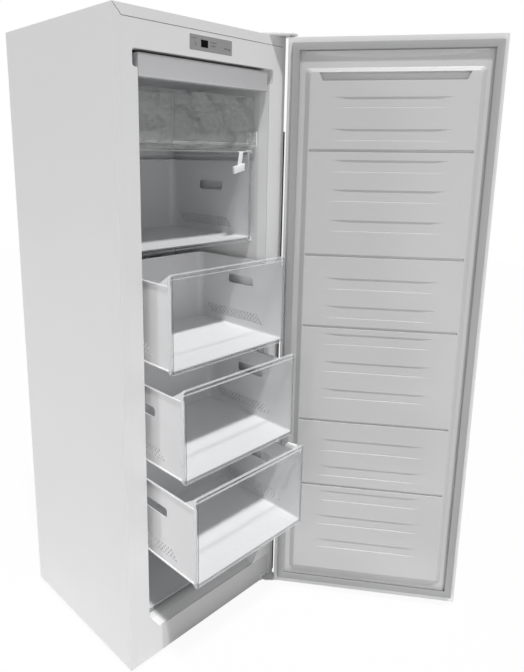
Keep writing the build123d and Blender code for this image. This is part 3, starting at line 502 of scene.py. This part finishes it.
def joined(name, pieces):
    """One object from several."""
    alone(pieces[0])
    for piece in pieces[1:]:
        piece.select_set(True)
    bpy.ops.object.join()
    pieces[0].name = pieces[0].data.name = name
    return pieces[0]


def settle(piece, body, finish, slot, *nodes):
    """Give a finished piece its body and finish, and hide the solids it stands for. The slot is
    not used.
    """
    piece.data.materials.clear()
    piece.data.materials.append(finish)
    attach(piece, body)
    if nodes:
        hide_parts(*nodes)
    low, high = Vector(piece.bound_box[0]), Vector(piece.bound_box[6])
    size = [round(value / MM) for value in high - low]
    print(piece.name, "is", size, "mm, with", len(piece.data.polygons), "faces")


# %% Helpers for edit mode
class editing:
    """A block of steps in edit mode on one piece."""

    def __init__(self, piece):
        self.piece = piece

    def __enter__(self):
        alone(self.piece)
        bpy.ops.object.mode_set(mode="EDIT")

    def __exit__(self, *problem):
        bpy.ops.object.mode_set(mode="OBJECT")


def pick_faces(test):
    """Select the faces whose middle (in mm) and normal pass a test."""
    bpy.ops.mesh.select_mode(type="FACE")
    mesh = bmesh.from_edit_mesh(bpy.context.object.data)
    for face in mesh.faces:
        face.select_set(bool(test(face.calc_center_median() / MM, face.normal)))
    bmesh.update_edit_mesh(bpy.context.object.data)


def pick_edges(test):
    """Select the edges whose two ends (in mm) pass a test."""
    bpy.ops.mesh.select_mode(type="EDGE")
    mesh = bmesh.from_edit_mesh(bpy.context.object.data)
    for face in mesh.faces:
        face.select_set(False)
    for edge in mesh.edges:
        edge.select_set(bool(test(edge.verts[0].co / MM, edge.verts[1].co / MM)))
    bmesh.update_edit_mesh(bpy.context.object.data)


def pick_edges_along(axis, longer_than):
    """Select the edges that run along X (0), Y (1) or Z (2) for more than a length in mm."""
    pick_edges(lambda a, b: abs(a[axis] - b[axis]) > longer_than)


def pick_points(test):
    """Select the corners whose place (in mm) passes a test."""
    bpy.ops.mesh.select_mode(type="VERT")
    mesh = bmesh.from_edit_mesh(bpy.context.object.data)
    for point in mesh.verts:
        point.select_set(bool(test(point.co / MM)))
    mesh.select_flush(True)
    bmesh.update_edit_mesh(bpy.context.object.data)


def cut(axis, *places):
    """Cut every face with planes square to X (0), Y (1) or Z (2), at places in mm."""
    normal = Vector([1.0 if index == axis else 0.0 for index in range(3)])
    for place in places:
        bpy.ops.mesh.select_all(action="SELECT")
        bpy.ops.mesh.bisect(plane_co=normal * place * MM, plane_no=normal)


def move(x=0.0, y=0.0, z=0.0):
    """Move what is picked, in mm."""
    bpy.ops.transform.translate(value=(x * MM, y * MM, z * MM))


def bevel(radius, segments):
    """Round the picked edges, to a radius in mm."""
    bpy.ops.mesh.bevel(offset=radius * MM, segments=segments, affect="EDGES")


def inset(width, depth=0.0, each=False):
    """Inset the picked faces and raise (or sink) them, in mm, as one area or each on its own."""
    bpy.ops.mesh.inset(thickness=width * MM, depth=depth * MM, use_individual=each)


def drop_faces(test):
    """Delete the faces whose middle (in mm) and normal pass a test."""
    pick_faces(test)
    bpy.ops.mesh.delete(type="FACE")


# %% [markdown]
# ## The inner face of the door
# It is one sheet of plastic, heated and sucked over a mould, so every edge is soft. Its raised
# middle has a finger-wide recess along the top, five grooves that line up with the drawers, and
# shallow bands that stiffen it. Each band is an inset with depth, which slopes its walls as a
# mould does. A bump map could draw all this, but it would look flat from the side. The sheet is
# modelled with the door shut, and then swung with the door.

# %% Sizes of the door sheet
hinge_middle = Vector((288.6, -301.1, 0.0)) * MM
door_angle = math.radians(125.83)
rim_y, sheet_thickness = -282.0, 1.5
raised_by = 11.0
top_y = rim_y + raised_by
sheet_half, sheet_low, sheet_high = 283.5, 45.0, 1761.5
foot_half, foot_low, foot_high = 246.0, 86.0, 1695.0
face_half, face_low, face_high = 231.5, 97.0, 1684.0
face_slope = foot_half - face_half
mould_slope = 1.2

band_half, band_depth, band_lean = 165.0, 2.5, 40.0
band_levels = (
    (1586.0, 1616.0), (1495.0, 1528.0), (1406.0, 1441.0), (1321.0, 1356.0), (1233.0, 1267.0),
    (1057.0, 1092.0), (967.0, 1005.0), (882.0, 917.0), (793.0, 827.0), (706.0, 736.0),
    (524.0, 565.0), (437.0, 472.0), (348.0, 384.0), (261.0, 294.0), (176.5, 206.0),
)
groove_reach, groove_half, groove_depth = face_half - 2.5, 4.5, 4.5
groove_levels = (1467.0, 1160.0, 938.0, 628.0, 403.0)
recess_half, recess_low, recess_high = 206.0, 1660.0, 1682.5
recess_slope, recess_depth, recess_taper = 1.5, 10.5, 9.0
print("door sheet:", len(groove_levels), "grooves and", len(band_levels), "bands")

# %% Raised middle
door_sheet = new_block("door_sheet", (-sheet_half, rim_y - sheet_thickness, sheet_low),
                       (sheet_half, rim_y, sheet_high))


def round_foot(a, b):
    """Edges where the raised middle rises from the rim."""
    return all(abs(end.y - rim_y) < 0.1 and abs(end.x) < foot_half + 2
               and foot_low - 2 < end.z < foot_high + 2 for end in (a, b))


with editing(door_sheet):
    cut(0, -foot_half, foot_half)
    cut(2, foot_low, foot_high)
    pick_faces(lambda at, normal: normal.y > 0.5 and abs(at.x) < foot_half
               and foot_low < at.z < foot_high)
    inset(face_slope, raised_by)
    pick_points(lambda at: at.y > top_y - 1 and at.z > foot_high - 40)
    move(z=face_high - (foot_high - face_slope))
    pick_points(lambda at: at.y > top_y - 1 and at.z < foot_low + 40)
    move(z=face_low - (foot_low + face_slope))
    for radius, lowest, highest in ((8, 500, 1900), (3, 0, 1400)):
        pick_edges(lambda a, b: face_half - 1 < abs(a.x) < foot_half + 1
                   and abs(a.y - b.y) > raised_by - 1 and lowest < a.z < highest)
        bevel(radius, 6)
    pick_edges(lambda a, b: min(a.y, b.y) > top_y - 0.1)
    bevel(1.2, 3)
    pick_edges(round_foot)
    bevel(2, 3)
print("raised middle:", len(door_sheet.data.polygons), "faces")

# %% [markdown]
# The bands, grooves and the recess are cut into the flat top with planes, so that each is made
# of faces of its own, and then inset downwards. The ends of the bands are drawn in at the
# bottom, which lets them fade out sideways as they do on the real sheet.


# %% Bands, grooves and recess
def on_top(at, normal):
    return normal.y > 0.9 and at.y > top_y - 0.2


with editing(door_sheet):
    for side in (-1, 1):
        cut(0, side * groove_reach, side * band_half, side * recess_half)
    for low, high in band_levels + ((recess_low, recess_high),):
        cut(2, low, high)
    for level in groove_levels:
        cut(2, level - groove_half, level + groove_half)
    pick_faces(lambda at, normal: on_top(at, normal) and abs(at.x) < band_half
               and any(low < at.z < high for low, high in band_levels))
    inset(mould_slope, -band_depth)
    for side in (-1, 1):
        pick_points(lambda at: abs(at.y - (top_y - band_depth)) < 0.2
                    and side * at.x > band_half - 9)
        move(x=-side * band_lean)
    pick_faces(lambda at, normal: on_top(at, normal) and abs(at.x) < groove_reach
               and any(abs(at.z - level) < 3 for level in groove_levels))
    inset(mould_slope, -groove_depth)
    pick_faces(lambda at, normal: on_top(at, normal) and abs(at.x) < recess_half
               and recess_low < at.z < recess_high)
    inset(recess_slope, -recess_depth)
    for side in (-1, 1):
        pick_points(lambda at: recess_half - 3 < side * at.x < recess_half + 0.5
                    and recess_low - 0.5 < at.z < recess_low + 3)
        move(x=-side * recess_taper)
print("with bands, grooves and recess:", len(door_sheet.data.polygons), "faces")

# %% [markdown]
# On the rim above the raised middle lies a low pad in the shape of a flat lens. It is a thin
# bar, cut into narrow columns, whose edges are pulled down and up by a parabola: simpler than a
# curve, and its ends stay sharp.

# %% Lens-shaped pad
lens_half, lens_low, lens_high, lens_raise = 248.0, 1735.0, 1741.0, 3.5
lens_drop, lens_rise = 16.0, 11.0
half_columns = 15
columns = [lens_half * math.sin(step * math.pi / 32)
           for step in range(-half_columns, half_columns + 1)]
lens = new_block("lens", (-lens_half, rim_y - 1, lens_low),
                 (lens_half, rim_y + lens_raise, lens_high))
with editing(lens):
    cut(0, *columns)
    for column in columns:
        sag = 1.0 - (column / lens_half) ** 2
        pick_points(lambda at: abs(at.x - column) < 0.2 and at.z < lens_low + 0.5)
        move(z=-sag * lens_drop)
        pick_points(lambda at: abs(at.x - column) < 0.2 and at.z < lens_high - 1
                    and at.y > rim_y + lens_raise - 0.5)
        move(z=sag * lens_rise)


def swing(piece):
    """Turn a piece made on the shut door to where the open door stands."""
    alone(piece)
    turn = Matrix.Rotation(door_angle, 4, "Z")
    there, back = Matrix.Translation(hinge_middle), Matrix.Translation(-hinge_middle)
    piece.matrix_world = there @ turn @ back
    freeze()


door_sheet = joined("door_sheet", [door_sheet, lens])
smooth(door_sheet, 50)
swing(door_sheet)
settle(door_sheet, "door", door_plastic_painted_shade, "white_plastic", "door_liner")

# %% [markdown]
# ## The drawers
# Each drawer is a white tub with a clear front. The tub has a finger slot and a band of small
# holes in each side, and a thin rail round its top and its foot. It could be a block that is
# hollowed out, but a bare sheet that is thickened afterwards keeps its wall even in the rounded
# corners. The lowest drawer, pushed in out of sight, keeps its plain solids.

# %% Sizes of the drawers
drawer_half = 215.0
front_wall, front_return = 3.0, 10.0
wall_half = drawer_half - front_wall
tub_wall = 2.5
floor_lift, wall_drop = 11.0, 28.0
shut_front, shut_back = -220.0, 150.0
back_corner, floor_corner = 26.0, 8.0
rail_height, rail_corner = 4.0, 28.0
clip_length, clip_below, clip_above = 38.0, 14.0, 25.0
drawer_sizes = {
    # name: lower edge, height, how far it stands out
    "drawer_2": (1192.7, 269.8, 0.0),
    "drawer_3": (901.0, 262.0, 142.0),
    "drawer_4": (616.5, 259.5, 190.0),
    "drawer_5": (339.5, 259.5, 236.0),
}
print(len(drawer_sizes), "drawers,", 2 * drawer_half, "mm wide")

# %% [markdown]
# The slots and holes pass through both side walls, so each tool is as long as the drawer is wide
# and cuts both sides at once. Arrays make a whole band from one small bar: a row of 18, and four
# rows, each half a step further back than the one below.


# %% Tools for the slot and the holes
def apply_all(piece):
    """Apply every modifier of a piece."""
    alone(piece)
    for modifier in list(piece.modifiers):
        bpy.ops.object.modifier_apply(modifier=modifier.name)


def carve(piece, tool):
    """Cut one object out of another and remove the tool."""
    modifier = piece.modifiers.new("carve", "BOOLEAN")
    modifier.operation = "DIFFERENCE"
    modifier.solver = "EXACT"
    modifier.object = tool
    apply_all(piece)
    bpy.data.objects.remove(tool)


def slot_tool(front, low):
    """Rounded bar that cuts the finger slot through both side walls."""
    tool = new_block("slot_tool", (-230, front + 120, low + 150), (230, front + 230, low + 178))
    with editing(tool):
        pick_edges_along(0, 100)
        bevel(10, 6)
    return tool


def hole_tool(front, low):
    """Rows of small six-sided bars that cut the band of holes through both side walls."""
    bpy.ops.object.select_all(action="DESELECT")
    bpy.ops.mesh.primitive_cylinder_add(
        vertices=6, radius=3.3 * MM, depth=460 * MM, rotation=(0, math.pi / 2, 0),
        location=(0, (front + 84) * MM, (low + 40) * MM),
    )
    tool = bpy.context.object
    freeze()
    for offset, count in (((0, 13.0, 0), 18), ((0, 6.5, 7.6), 4)):
        array = tool.modifiers.new("array", "ARRAY")
        array.use_relative_offset = False
        array.use_constant_offset = True
        array.constant_offset_displace = [value * MM for value in offset]
        array.count = count
    apply_all(tool)
    return tool


# %% [markdown]
# The rails stiffen the tub and slide in the cabinet. A rail is a low block without its top,
# bottom and front, so that thickening what is left gives a strip that follows the corners. The
# clips are upright plates that hold the clear front.


# %% Rails and clips
def thicken(piece, thickness):
    """Turn a bare sheet into a wall, inwards from its outer face."""
    wall = piece.modifiers.new("wall", "SOLIDIFY")
    wall.thickness = thickness * MM
    wall.offset = -1.0
    wall.use_even_offset = True
    apply_all(piece)


def soften(piece, width, segments, degrees):
    """Round the edges that are sharper than an angle."""
    rounding = piece.modifiers.new("rounding", "BEVEL")
    rounding.width = width * MM
    rounding.segments = segments
    rounding.angle_limit = math.radians(degrees)
    apply_all(piece)


def side_block(name, side, across, low, high):
    """Block left (-1) or right (1) of the middle, between two distances from it and two (Y, Z)."""
    left, right = sorted(side * place for place in across)
    return new_block(name, (left, *low), (right, *high))


def bent_strip(low, high, corner, thickness):
    """Strip that runs along both sides and round the back, open at the front."""
    strip = new_block("strip", low, high)
    with editing(strip):
        pick_edges(lambda a, b: abs(a.z - b.z) > 1 and a.y > high[1] - 1)
        bevel(corner, 8)
        drop_faces(lambda at, normal: abs(normal.z) > 0.9
                   or (normal.y < -0.9 and at.y < low[1] + 1))
    thicken(strip, thickness)
    soften(strip, 0.9, 2, 50)
    return strip


def side_clip(side, front, top):
    """Upright plate with a slanted top that holds the clear front."""
    clip = side_block("clip", side, (wall_half + 0.5, wall_half - tub_wall - 0.5),
                      (front, top - clip_below), (front + clip_length, top + clip_above))
    with editing(clip):
        pick_points(lambda at: at.z > top + clip_above - 5 and at.y > front + clip_length - 8)
        move(z=-clip_above)
        pick_edges_along(0, 1)
        bevel(2, 3)
    return clip


# %% [markdown]
# Every tub is made by the same steps from its own measures, already as far out as it stands. Its
# floor has the finish with low ribs, painted whiter than the walls where light falls on it.


# %% Tub
def second_finish(piece, finish, test):
    """Give the faces that pass a test another finish."""
    piece.data.materials.append(finish)
    for face in piece.data.polygons:
        if test(face.center / MM, face.normal):
            face.material_index = len(piece.data.materials) - 1


def make_tub(name, low, height, out):
    """White tub of one drawer, with its slots, holes, rails and the clips that hold the front."""
    front = shut_front - out + front_wall
    rear = shut_back - out
    floor_z = low + floor_lift
    top = low + height - wall_drop

    def round_floor(a, b):
        """Edges of the floor, except the one at the open front."""
        outside = max(abs(a.x), abs(b.x)) > wall_half - back_corner - 1
        beside = outside and max(a.y, b.y) > front + 1
        return max(a.z, b.z) < floor_z + 1 and (beside or min(a.y, b.y) > rear - 1)

    tub = new_block(name + "_moulding", (-wall_half, front, floor_z), (wall_half, rear, top))
    with editing(tub):
        pick_edges(lambda a, b: abs(a.z - b.z) > 50 and a.y > rear - 1)
        bevel(back_corner, 8)
        pick_edges(round_floor)
        bevel(floor_corner, 4)
        drop_faces(lambda at, normal: normal.z > 0.9 or (normal.y < -0.9 and at.y < front + 1))
    thicken(tub, tub_wall)
    carve(tub, slot_tool(front, low))
    carve(tub, hole_tool(front, low))
    smooth(tub)
    lip_front = front - front_wall + front_return
    parts = [tub]
    for rail_low in (top - rail_height, floor_z):
        parts.append(bent_strip((-drawer_half, lip_front, rail_low),
                                (drawer_half, rear, rail_low + rail_height),
                                rail_corner, drawer_half - wall_half + tub_wall))
    parts += [side_clip(side, lip_front, top) for side in (-1, 1)]
    tub = joined(name + "_moulding", parts)
    smooth(tub)
    return tub


for name, (low, height, out) in drawer_sizes.items():
    tub = make_tub(name, low, height, out)
    settle(tub, name, tub_plastic, "white_plastic", name + "_tub")
    second_finish(tub, floor_plastic_painted_light,
                  lambda at, normal: normal.z > 0.9 and at.z < low + floor_lift + 6)

# %% [markdown]
# ## Clear fronts
# The front is a shallow tray on edge: a sheet with its rim turned back all round, so it looks
# thick at the sides and nearly invisible in the middle. A strip under the top rim closes the
# pull bar, and another lies above the lower rim. Where one looks along the rim, more plastic
# lies in the line of sight: the edges have a whiter finish, a painted highlight, and a darker
# one runs down each side as a thin line of painted shade.

# %% Front
front_thickness = 2.5
strip_thickness = 2.0
pull_bar_height, ledge_height = 15.0, 8.0
shade_line_band = (5.0, 9.0)


def make_front(name, low, height, out):
    """Clear front with rounded corners, turned-back rim and pull bar."""
    front = shut_front - out
    back = front + front_return
    high = low + height
    sheet = new_block(name + "_clear_front", (-drawer_half, front, low), (drawer_half, back, high))
    with editing(sheet):
        pick_edges_along(1, 5)
        bevel(9, 5)
        pick_edges(lambda a, b: max(a.y, b.y) < front + 0.1)
        bevel(3.5, 4)
        for side in (-1, 1):
            cut(0, *(side * (drawer_half - place) for place in shade_line_band))
        drop_faces(lambda at, normal: normal.y > 0.9)
    thicken(sheet, front_thickness)
    parts = [sheet]
    for strip_low in (high - pull_bar_height, low + ledge_height):
        strip = new_block("strip", (-wall_half, front + front_thickness, strip_low),
                          (wall_half, back, strip_low + strip_thickness))
        soften(strip, 0.6, 2, 50)
        parts.append(strip)
    sheet = joined(name + "_clear_front", parts)
    smooth(sheet)
    return sheet


for name, (low, height, out) in drawer_sizes.items():
    clear_front = make_front(name, low, height, out)
    settle(clear_front, name, clear_plastic, "clear_plastic", name + "_front")
    second_finish(clear_front, clear_edge_highlight, lambda at, normal: abs(normal.y) < 0.7)
    # A thin strip near each side gets the darker finish: painted shade.
    second_finish(clear_front, clear_rim_painted_shade, lambda at, normal: normal.y < -0.7
                  and low + ledge_height < at.z < low + height - ledge_height
                  and shade_line_band[0] < drawer_half - abs(at.x) < shade_line_band[1])

# %% [markdown]
# ## The top compartment
# Cold air comes out under a hollow bar along the ceiling. Below it a clear flap stands between
# two brackets and folds down to the front, and a glass shelf, which is a solid already, closes
# the compartment off from the first drawer. The bar is a block with a low ridge along its foot:
# the lowest strip of its front, pushed out.

# %% Air duct bar
bar_half, bar_front, bar_back, bar_low, bar_high = 226.0, -267.0, -240.0, 1631.0, 1686.0
ridge_height, ridge_depth = 4.0, 1.4
duct_bar = new_block("duct_bar", (-bar_half, bar_front + ridge_depth, bar_low),
                     (bar_half, bar_back, bar_high))
with editing(duct_bar):
    cut(2, bar_low + ridge_height, bar_high - 6)
    pick_faces(lambda at, normal: normal.y < -0.9 and at.z < bar_low + ridge_height)
    bpy.ops.mesh.extrude_region_shrink_fatten(
        TRANSFORM_OT_shrink_fatten={"value": ridge_depth * MM})
soften(duct_bar, 0.9, 3, 40)
print("duct bar:", len(duct_bar.data.polygons), "faces")

# %% [markdown]
# Behind the bar a flat plate with a row of vents covers the duct. Seen from below, the vents are
# shallow dents, so an inset is enough and no hole has to be cut.

# %% Air duct plate and side lips
duct_back = 163.0
plate_low, plate_high = bar_low + 20, bar_low + 22.5
vent_front, vent_back, vent_half = bar_back + 10, bar_back + 30, 14.0
vent_places = [index * 44.0 - 22.0 for index in range(-4, 6)]
duct_plate = new_block("duct_plate", (-bar_half, bar_back, plate_low),
                       (bar_half, duct_back, plate_high))
with editing(duct_plate):
    for place in vent_places:
        cut(0, place - vent_half, place + vent_half)
    cut(1, vent_front, vent_back)
    pick_faces(lambda at, normal: normal.z < -0.9 and vent_front < at.y < vent_back
               and any(abs(at.x - place) < vent_half - 1 for place in vent_places))
    inset(2, 1.5)
duct_parts = [duct_bar, duct_plate]
for side in (-1, 1):
    lip = side_block("duct_lip", side, (bar_half, bar_half - 2.5),
                     (bar_back, plate_high), (duct_back, bar_high))
    soften(lip, 0.8, 2, 50)
    duct_parts.append(lip)
duct_bar = joined("duct_bar", duct_parts)
smooth(duct_bar)
settle(duct_bar, "cabinet", duct_plastic, "grey_plastic", "top_air_duct")

# %% [markdown]
# The flap is a thin clear sheet with a raised frame round its field and a round pin along its
# foot, on which it turns. Its crumpled look comes from ripples in its finish: real folds would
# need a cloth simulation, whose folds fall where they like.

# %% Flap
flap_half, flap_front, flap_low, flap_high = 221.0, -219.0, 1466.0, 1616.0
frame_side, frame_foot, frame_top = 12.0, 14.0, 10.0
pin_half, pin_height = 227.5, 6.0
flap = new_block("flap_sheet", (-flap_half, flap_front, flap_low),
                 (flap_half, flap_front + 3, flap_high))
with editing(flap):
    pick_edges_along(1, 2)
    bevel(8, 5)
    cut(2, flap_low + frame_foot, flap_high - frame_top)
    cut(0, frame_side - flap_half, flap_half - frame_side)
    pick_faces(lambda at, normal: normal.y < -0.9 and abs(at.x) < flap_half - frame_side
               and flap_low + frame_foot < at.z < flap_high - frame_top)
    inset(3, -0.8)
soften(flap, 0.6, 2, 45)
pin = new_block("pin", (-pin_half, flap_front, flap_low + frame_foot),
                (pin_half, flap_front + pin_height, flap_low + frame_foot + pin_height))
with editing(pin):
    pick_edges_along(0, 100)
    bevel(2.6, 5)
flap = joined("flap_sheet", [flap, pin])
smooth(flap)
settle(flap, "flap", flap_film, "clear_plastic", "top_flap")
# The flap's edges get the same painted highlight.
second_finish(flap, clear_edge_highlight, lambda at, normal: abs(normal.y) < 0.7)

# %% [markdown]
# A bracket at each end holds the flap's pin. It is a small plate with a rim and a grid of nine
# pockets that save plastic: planes cut the grid, and each of its faces is inset on its own.

# %% Flap brackets
plate_front, plate_back, plate_foot, plate_top = -228.0, -184.0, 1475.0, 1520.0
plate_frame = 4.0
bracket_parts = []
for side in (-1, 1):
    plate = side_block("bracket", side, (227.0, 224.0),
                       (plate_front, plate_foot), (plate_back, plate_top))
    with editing(plate):
        pick_edges_along(0, 1)
        bevel(5, 5)
        pick_faces(lambda at, normal: normal.x * side < -0.9)
        inset(3)
        inset(0.6, -1.4)
        cut(1, -214.0, -199.0)
        cut(2, 1490.0, 1505.0)
        pick_faces(lambda at, normal: normal.x * side < -0.9
                   and plate_front + plate_frame < at.y < plate_back - plate_frame
                   and plate_foot + plate_frame < at.z < plate_top - plate_frame)
        inset(2.2, each=True)
        inset(0.6, -1.2, each=True)
    bracket_parts.append(plate)
brackets = joined("bracket_plates", bracket_parts)
smooth(brackets)
settle(brackets, "cabinet", bright_plastic, "white_plastic", "flap_brackets")

# %% [markdown]
# ## Small parts of the cabinet and the drawers
# A flat lid covers the upper hinge. Its near left corner is cut off, which shows in the slanted
# shadow that the lid throws on the front. A boolean could do that, but a slanted cutting plane
# that also fills the hole leaves cleaner faces.

# %% Hinge lid
lid_low, lid_high = 1785.0, 1791.5
lid_corner = ((214, -271), (232, -277), (250, -317))
hinge_lid = new_block("hinge_lid", (214, -317, lid_low), (300, -214, lid_high))
with editing(hinge_lid):
    for near, far in zip(lid_corner, lid_corner[1:]):
        edge = Vector((far[0] - near[0], far[1] - near[1], 0.0))
        bpy.ops.mesh.select_all(action="SELECT")
        bpy.ops.mesh.bisect(plane_co=Vector((*near, 0.0)) * MM,
                            plane_no=Vector((edge.y, -edge.x, 0.0)),
                            clear_outer=True, use_fill=True)
    pick_edges(lambda a, b: abs(a.z - b.z) > 5 and min(a.y, b.y) < -300)
    bevel(8, 6)
soften(hinge_lid, 1.6, 3, 50)
smooth(hinge_lid)
settle(hinge_lid, "cabinet", white_plastic, "white_plastic", "upper_hinge_cover")

# %% [markdown]
# A white clip hangs over the first drawer's front, with a leaning stem, a hook and a slanted
# foot. Three blocks, with some corners pushed aside, are enough for so small a thing.

# %% Clip on the first drawer's front
stem = new_block("stem", (150, -223.5, 1412), (166, -220.2, 1461))
with editing(stem):
    pick_points(lambda at: at.z > 1460)
    move(x=9)
hook = new_block("hook", (158, -223.5, 1459), (180, -214, 1462.2))
foot = new_block("foot", (132, -231, 1397), (174, -220.2, 1418))
with editing(foot):
    pick_points(lambda at: at.x > 160)
    move(z=10)
for piece in (stem, hook, foot):
    soften(piece, 1.4, 3, 50)
front_clip = joined("front_clip", [stem, hook, foot])
smooth(front_clip)
settle(front_clip, "drawer_2", bright_plastic, "white_plastic")

# %% [markdown]
# A second clip sits at the right wall of the lowest open drawer. It is a rounded block with a
# slanted back.

# %% Clip at the wall of the lowest open drawer
wall_clip = new_block("wall_clip", (204, -431, 574), (215.3, -388, 592))
with editing(wall_clip):
    pick_points(lambda at: at.z > 590 and at.y > -400)
    move(y=-10, z=-4)
soften(wall_clip, 2.5, 3, 50)
smooth(wall_clip)
settle(wall_clip, "drawer_5", bright_plastic, "white_plastic")

# %% [markdown]
# The control panel is a solid of its own. The dark window in it gets a raised face, and plain
# ticks stand beside it. They are thin blocks and not a texture, so they stay sharp from close
# by.

# %% Control panel
window = new_block("display_glass", (-32.5, -270.5, 1720), (-8.5, -268.6, 1738))
with editing(window):
    pick_faces(lambda at, normal: normal.y < -0.9)
    inset(1.2, 0.3)
soften(window, 0.4, 2, 50)
settle(window, "cabinet", display_black, "dark_plastic", "display_window")
mark_front, mark_back = -270.3, -269.9
mark_places = (
    # left, right, lower and upper edge of each tick
    (0, 22, 1734, 1735.6), (0, 20, 1726, 1727.4), (50, 60, 1724, 1727), (63, 72, 1723, 1726),
    (-66, -46, 1739, 1740),
)
mark_parts = []
for left, right, low, high in mark_places:
    mark = new_block("mark", (left, mark_front, low), (right, mark_back, high))
    soften(mark, 0.15, 2, 50)
    mark_parts.append(mark)
marks = joined("panel_marks", mark_parts)
settle(marks, "cabinet", mark_grey, "grey_plastic")

# %% [markdown]
# The steel top is folded down over the front and meets the sides in a mitre. The seam is a dark
# thin line on the face of the steel, because a real gap of half a millimetre would vanish in the
# picture.

# %% Seam of the top trim
corner_x, corner_z = -297.3, 1783.0
seam_left, seam_right, seam_low = -273.5, 285.0, 1758.4
seam = new_block("seam", (seam_left, mark_front, seam_low),
                 (seam_right, mark_back, seam_low + 1.1))
mitre = new_block("mitre", (corner_x, mark_front, seam_low),
                  (corner_x + 1.4, mark_back, corner_z))
with editing(mitre):
    pick_points(lambda at: at.z < seam_low + 1)
    move(x=seam_left - corner_x)
for piece in (seam, mitre):
    soften(piece, 0.12, 2, 50)
top_seam = joined("top_seam", [seam, mitre])
settle(top_seam, "cabinet", dark_plastic, "dark_plastic")

# %% [markdown]
# A black strip runs up the cabinet's edge on the hinge side and ends square below the top. It is
# painted shade: a dark sheet for the deep shadow in the gap between the cabinet and the door.

# %% Dark strip of painted shade on the hinge side
gap_shade_strip = new_block("gap_shade_strip", (297.2, -267.5, 22), (307.5, -263, 1521))
soften(gap_shade_strip, 1.5, 3, 50)
smooth(gap_shade_strip)
settle(gap_shade_strip, "cabinet", black_rubber, "black_rubber")

# %% [markdown]
# ## The door's gasket
# A magnetic gasket is a soft foot pushed into a groove, a thin folded wall and a wide flat head
# that grips the cabinet. Its section could be swept round the door, but that pinches at the
# corners. Three rings with rounded edges give the three levels and keep the corners square.

# %% Gasket
gasket_half, gasket_low, gasket_high = 285.5, 39.0, 1765.0


def gasket_ring(name, outer, inner, start, end, rounding):
    """Ring between two insets from the gasket's outside and two levels over the rim."""
    def frame_block(label, inside, margin):
        return new_block(
            label, (inside - gasket_half, rim_y + start - margin, gasket_low + inside),
            (gasket_half - inside, rim_y + end + margin, gasket_high - inside))

    ring = frame_block(name, outer, 0)
    carve(ring, frame_block("hole", inner, 5))
    soften(ring, rounding, 3, 50)
    return ring


gasket = joined("gasket_rings", [
    gasket_ring("foot", 0, 23, 0, 4, 1.4),
    gasket_ring("wall", 6, 17, 3, 8.5, 0.6),
    gasket_ring("head", 1, 22, 7.5, 11.5, 1.7),
])
smooth(gasket)
swing(gasket)
settle(gasket, "door", gasket_rubber, "grey_rubber", "door_gasket")
